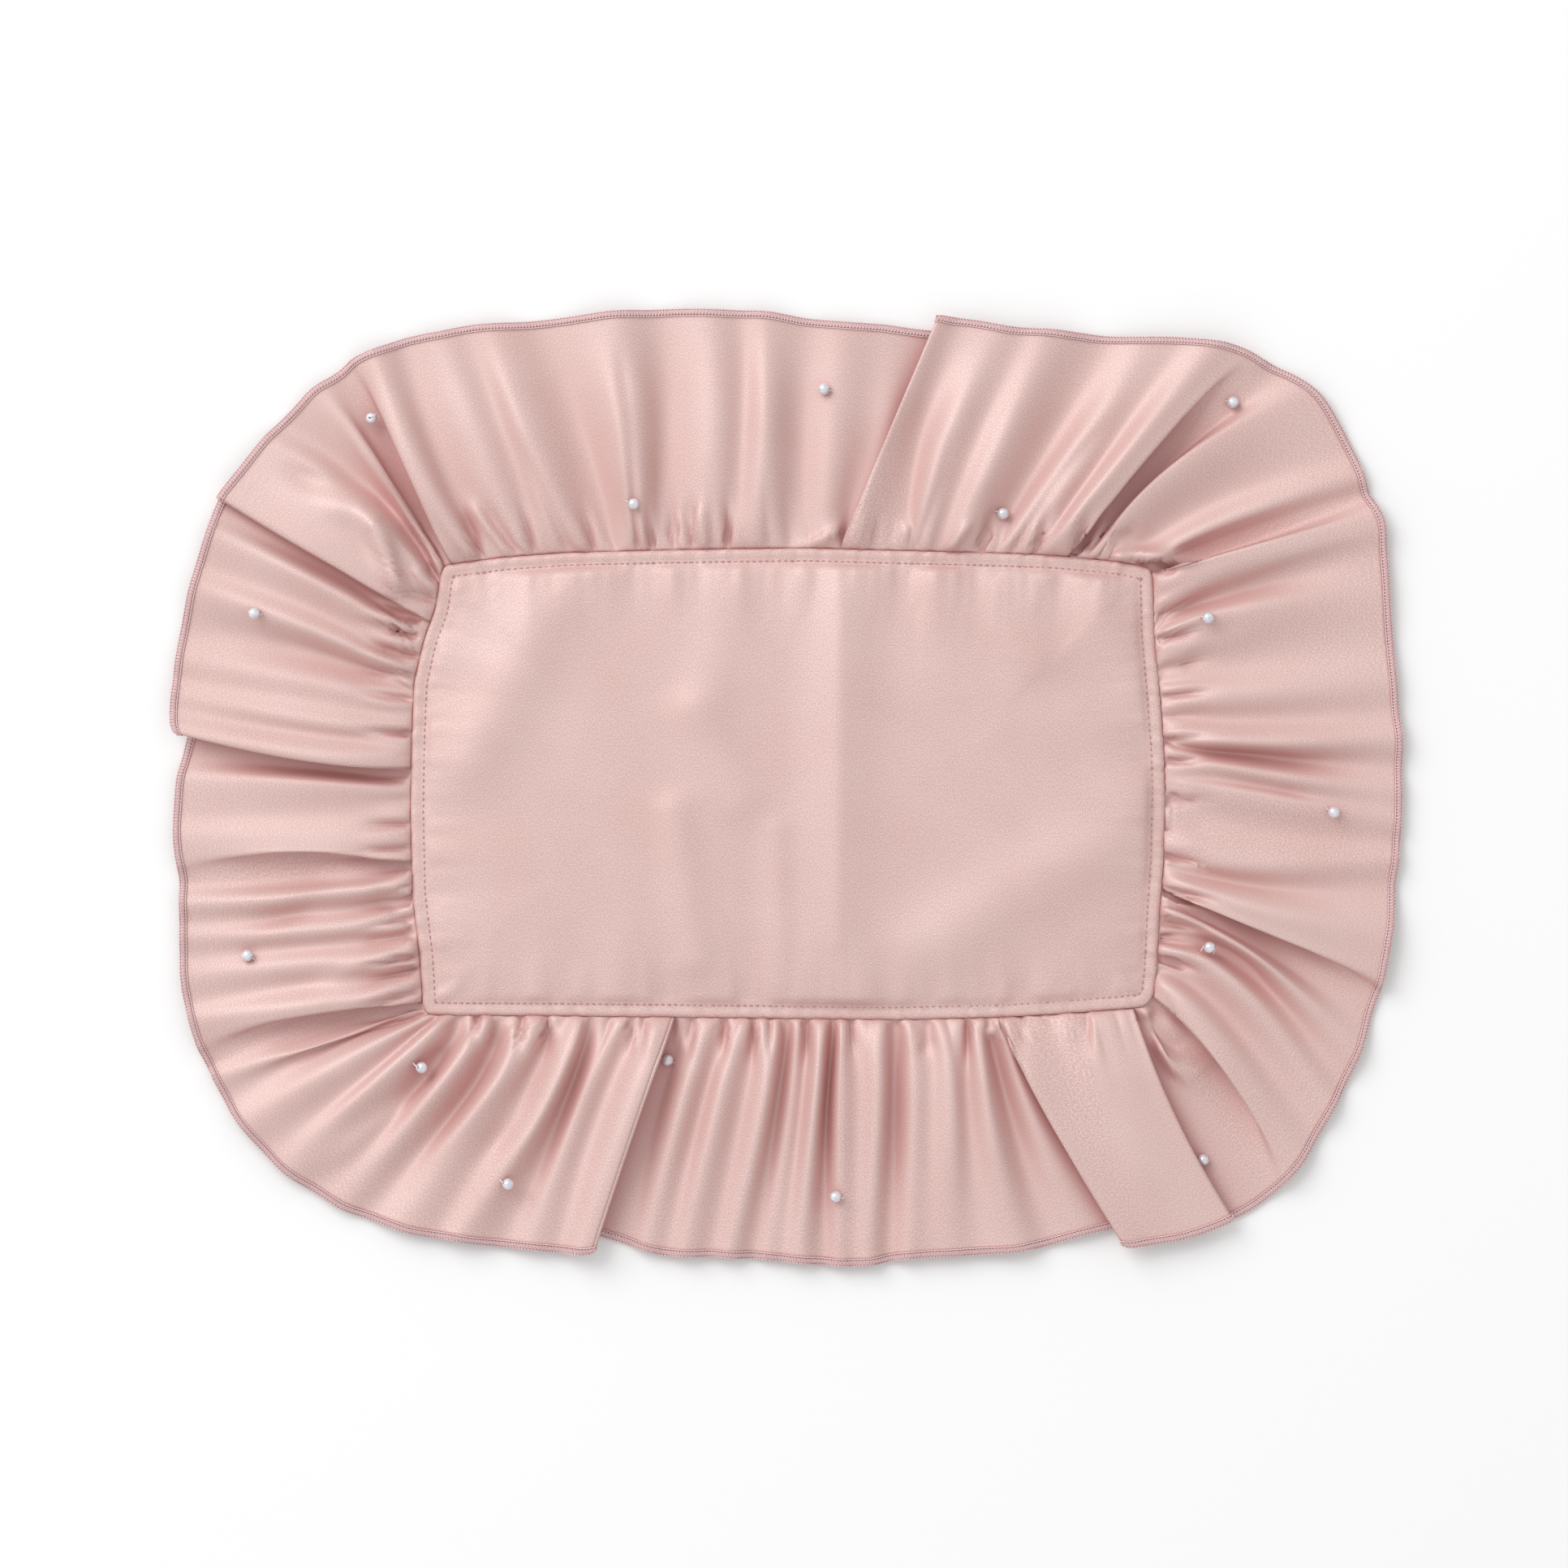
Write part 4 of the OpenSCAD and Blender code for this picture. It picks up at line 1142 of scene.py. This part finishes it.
def stitches(name, ring, heights, above, dip, stands_for):
    """Separate stitches along a closed path: each is a bar whose ends go down into the cloth.
    Its height over the cloth runs as a half sine along its length."""
    along = arc_lengths(ring)
    count = int(round(along[-1] / STITCH_PITCH))
    pitch = along[-1] / count
    t = np.linspace(0, 1, 5)
    at = (np.arange(count)[:, None] + t * STITCH_LENGTH).ravel() * pitch
    path = taken_at(np.column_stack([ring, heights]), along, at % along[-1])
    path = path.reshape(count, len(t), 3)
    path[..., 2] += above * np.sin(np.pi * t) - dip * (1 - np.sin(np.pi * t))
    rings = tube(path, STITCH_RADIUS * np.array([0.45, 0.9, 1, 0.9, 0.45]), 6)
    ends = [[0, 1, 2, 3], [0, 3, 4, 5], [27, 26, 25, 24], [29, 28, 27, 24]]
    one = np.vstack([tube_faces(len(t), 6), ends])
    faces = (np.arange(count)[:, None, None] * len(t) * 6 + one).reshape(-1, 4)
    new_mesh(name, rings, faces, SEWING_THREAD, stands_for)


def topstitching():
    """The topstitching round the mat: needle thread on the front, bobbin thread on the back."""
    line = inset(SEAM, FLANGE)
    stitches("topstitch_needle", line, panel_height(line)[0], above=0.42, dip=0.1,
             stands_for="topstitch_needle_thread")
    stitches("topstitch_bobbin", line, np.full(len(line), 0.48), above=-0.12, dip=-0.1,
             stands_for="topstitch_bobbin_thread")


def seam_threads():
    """The two threads inside the seam, the one that joins all layers and the one that gathers
    the ruffle: each waves up and down along the outline."""
    for name, by, high, stands_for in (("assembly_seam", 1.3, 1.5, "assembly_seam_thread"),
                                       ("gathering_run", 2.6, 1.6, "gathering_thread")):
        route = inset(SEAM, by)[::3]
        wave = 0.25 * np.sin(np.arange(len(route)) * np.pi / 2)
        thread_piece(name, np.column_stack([route, high + wave]), SEAM_THREAD_RADIUS,
                     SEWING_THREAD, stands_for)


def join_threads(cloth, top, bottom):
    """The thread of the two short seams that join the strips, just under the cloth."""
    for name, column in (("strip_join_top", top), ("strip_join_bottom", bottom)):
        thread_piece(name, cloth[column, ::3] - [0, 0, 0.18], JOIN_THREAD_RADIUS,
                     SEWING_THREAD, "strip_join_thread", closed=False)


# ---------------------------------------------------------------- floor, light, camera

# The studio is in metres.
VIEW_CENTRE = (-0.00125, 0.0014)
VIEW_WIDTH = 0.5367
LENS = 100
FILM = 36
ROOM_LIGHT = 0.78
LAMP_SIZE = 2.2
LAMP_POWER = 60
LAMP_PLACE = (-1.7, 1.7, 2.1)


def studio():
    """A white floor and a white room, a big soft lamp from the upper left, and the camera."""
    plane = bpy.data.meshes.new("floor")
    plane.from_pydata([(-3, -3, 0), (3, -3, 0), (3, 3, 0), (-3, 3, 0)], [], [(0, 1, 2, 3)])
    paint = new_material("studio_floor_white",
                         {"Base Color": (0.9, 0.9, 0.9, 1), "Roughness": 1})[0]
    plane.materials.append(paint)
    placed("floor", plane)
    scene = bpy.context.scene
    scene.world = bpy.data.worlds.new("studio")
    scene.world.use_nodes = True
    sky = scene.world.node_tree.nodes["Background"]
    sky.inputs["Color"].default_value = (1, 1, 1, 1)
    sky.inputs["Strength"].default_value = ROOM_LIGHT
    scene.view_settings.view_transform = "Standard"
    lamp = bpy.data.lights.new("softbox", "AREA")
    lamp.shape = "RECTANGLE"
    lamp.size = lamp.size_y = LAMP_SIZE
    lamp.energy = LAMP_POWER
    softbox = placed("softbox", lamp)
    softbox.location = LAMP_PLACE
    softbox.rotation_euler = (-Vector(LAMP_PLACE)).to_track_quat("-Z", "Y").to_euler()
    camera = bpy.data.cameras.new("camera")
    camera.lens = LENS
    camera.sensor_width = FILM
    eye = placed("camera", camera)
    eye.location = (*VIEW_CENTRE, VIEW_WIDTH * LENS / FILM)
    scene.camera = eye


# ---------------------------------------------------------------- build

cloth = settled(laid_ruffle())
top_join, bottom_join = sorted(nearest(cloth[:, -1, :2], place) for place in STRIP_JOINS)
ruffle_strip("ruffle_right", cloth, top_join, bottom_join, "ruffle_strip_right")
ruffle_strip("ruffle_left", cloth, bottom_join, top_join + len(cloth), "ruffle_strip_left")
rolled_hem(cloth)
overlocking(cloth)
pearls(cloth)
wadding_pad()
front_panel()
back_panel()
topstitching()
seam_threads()
join_threads(cloth, top_join, bottom_join)
studio()
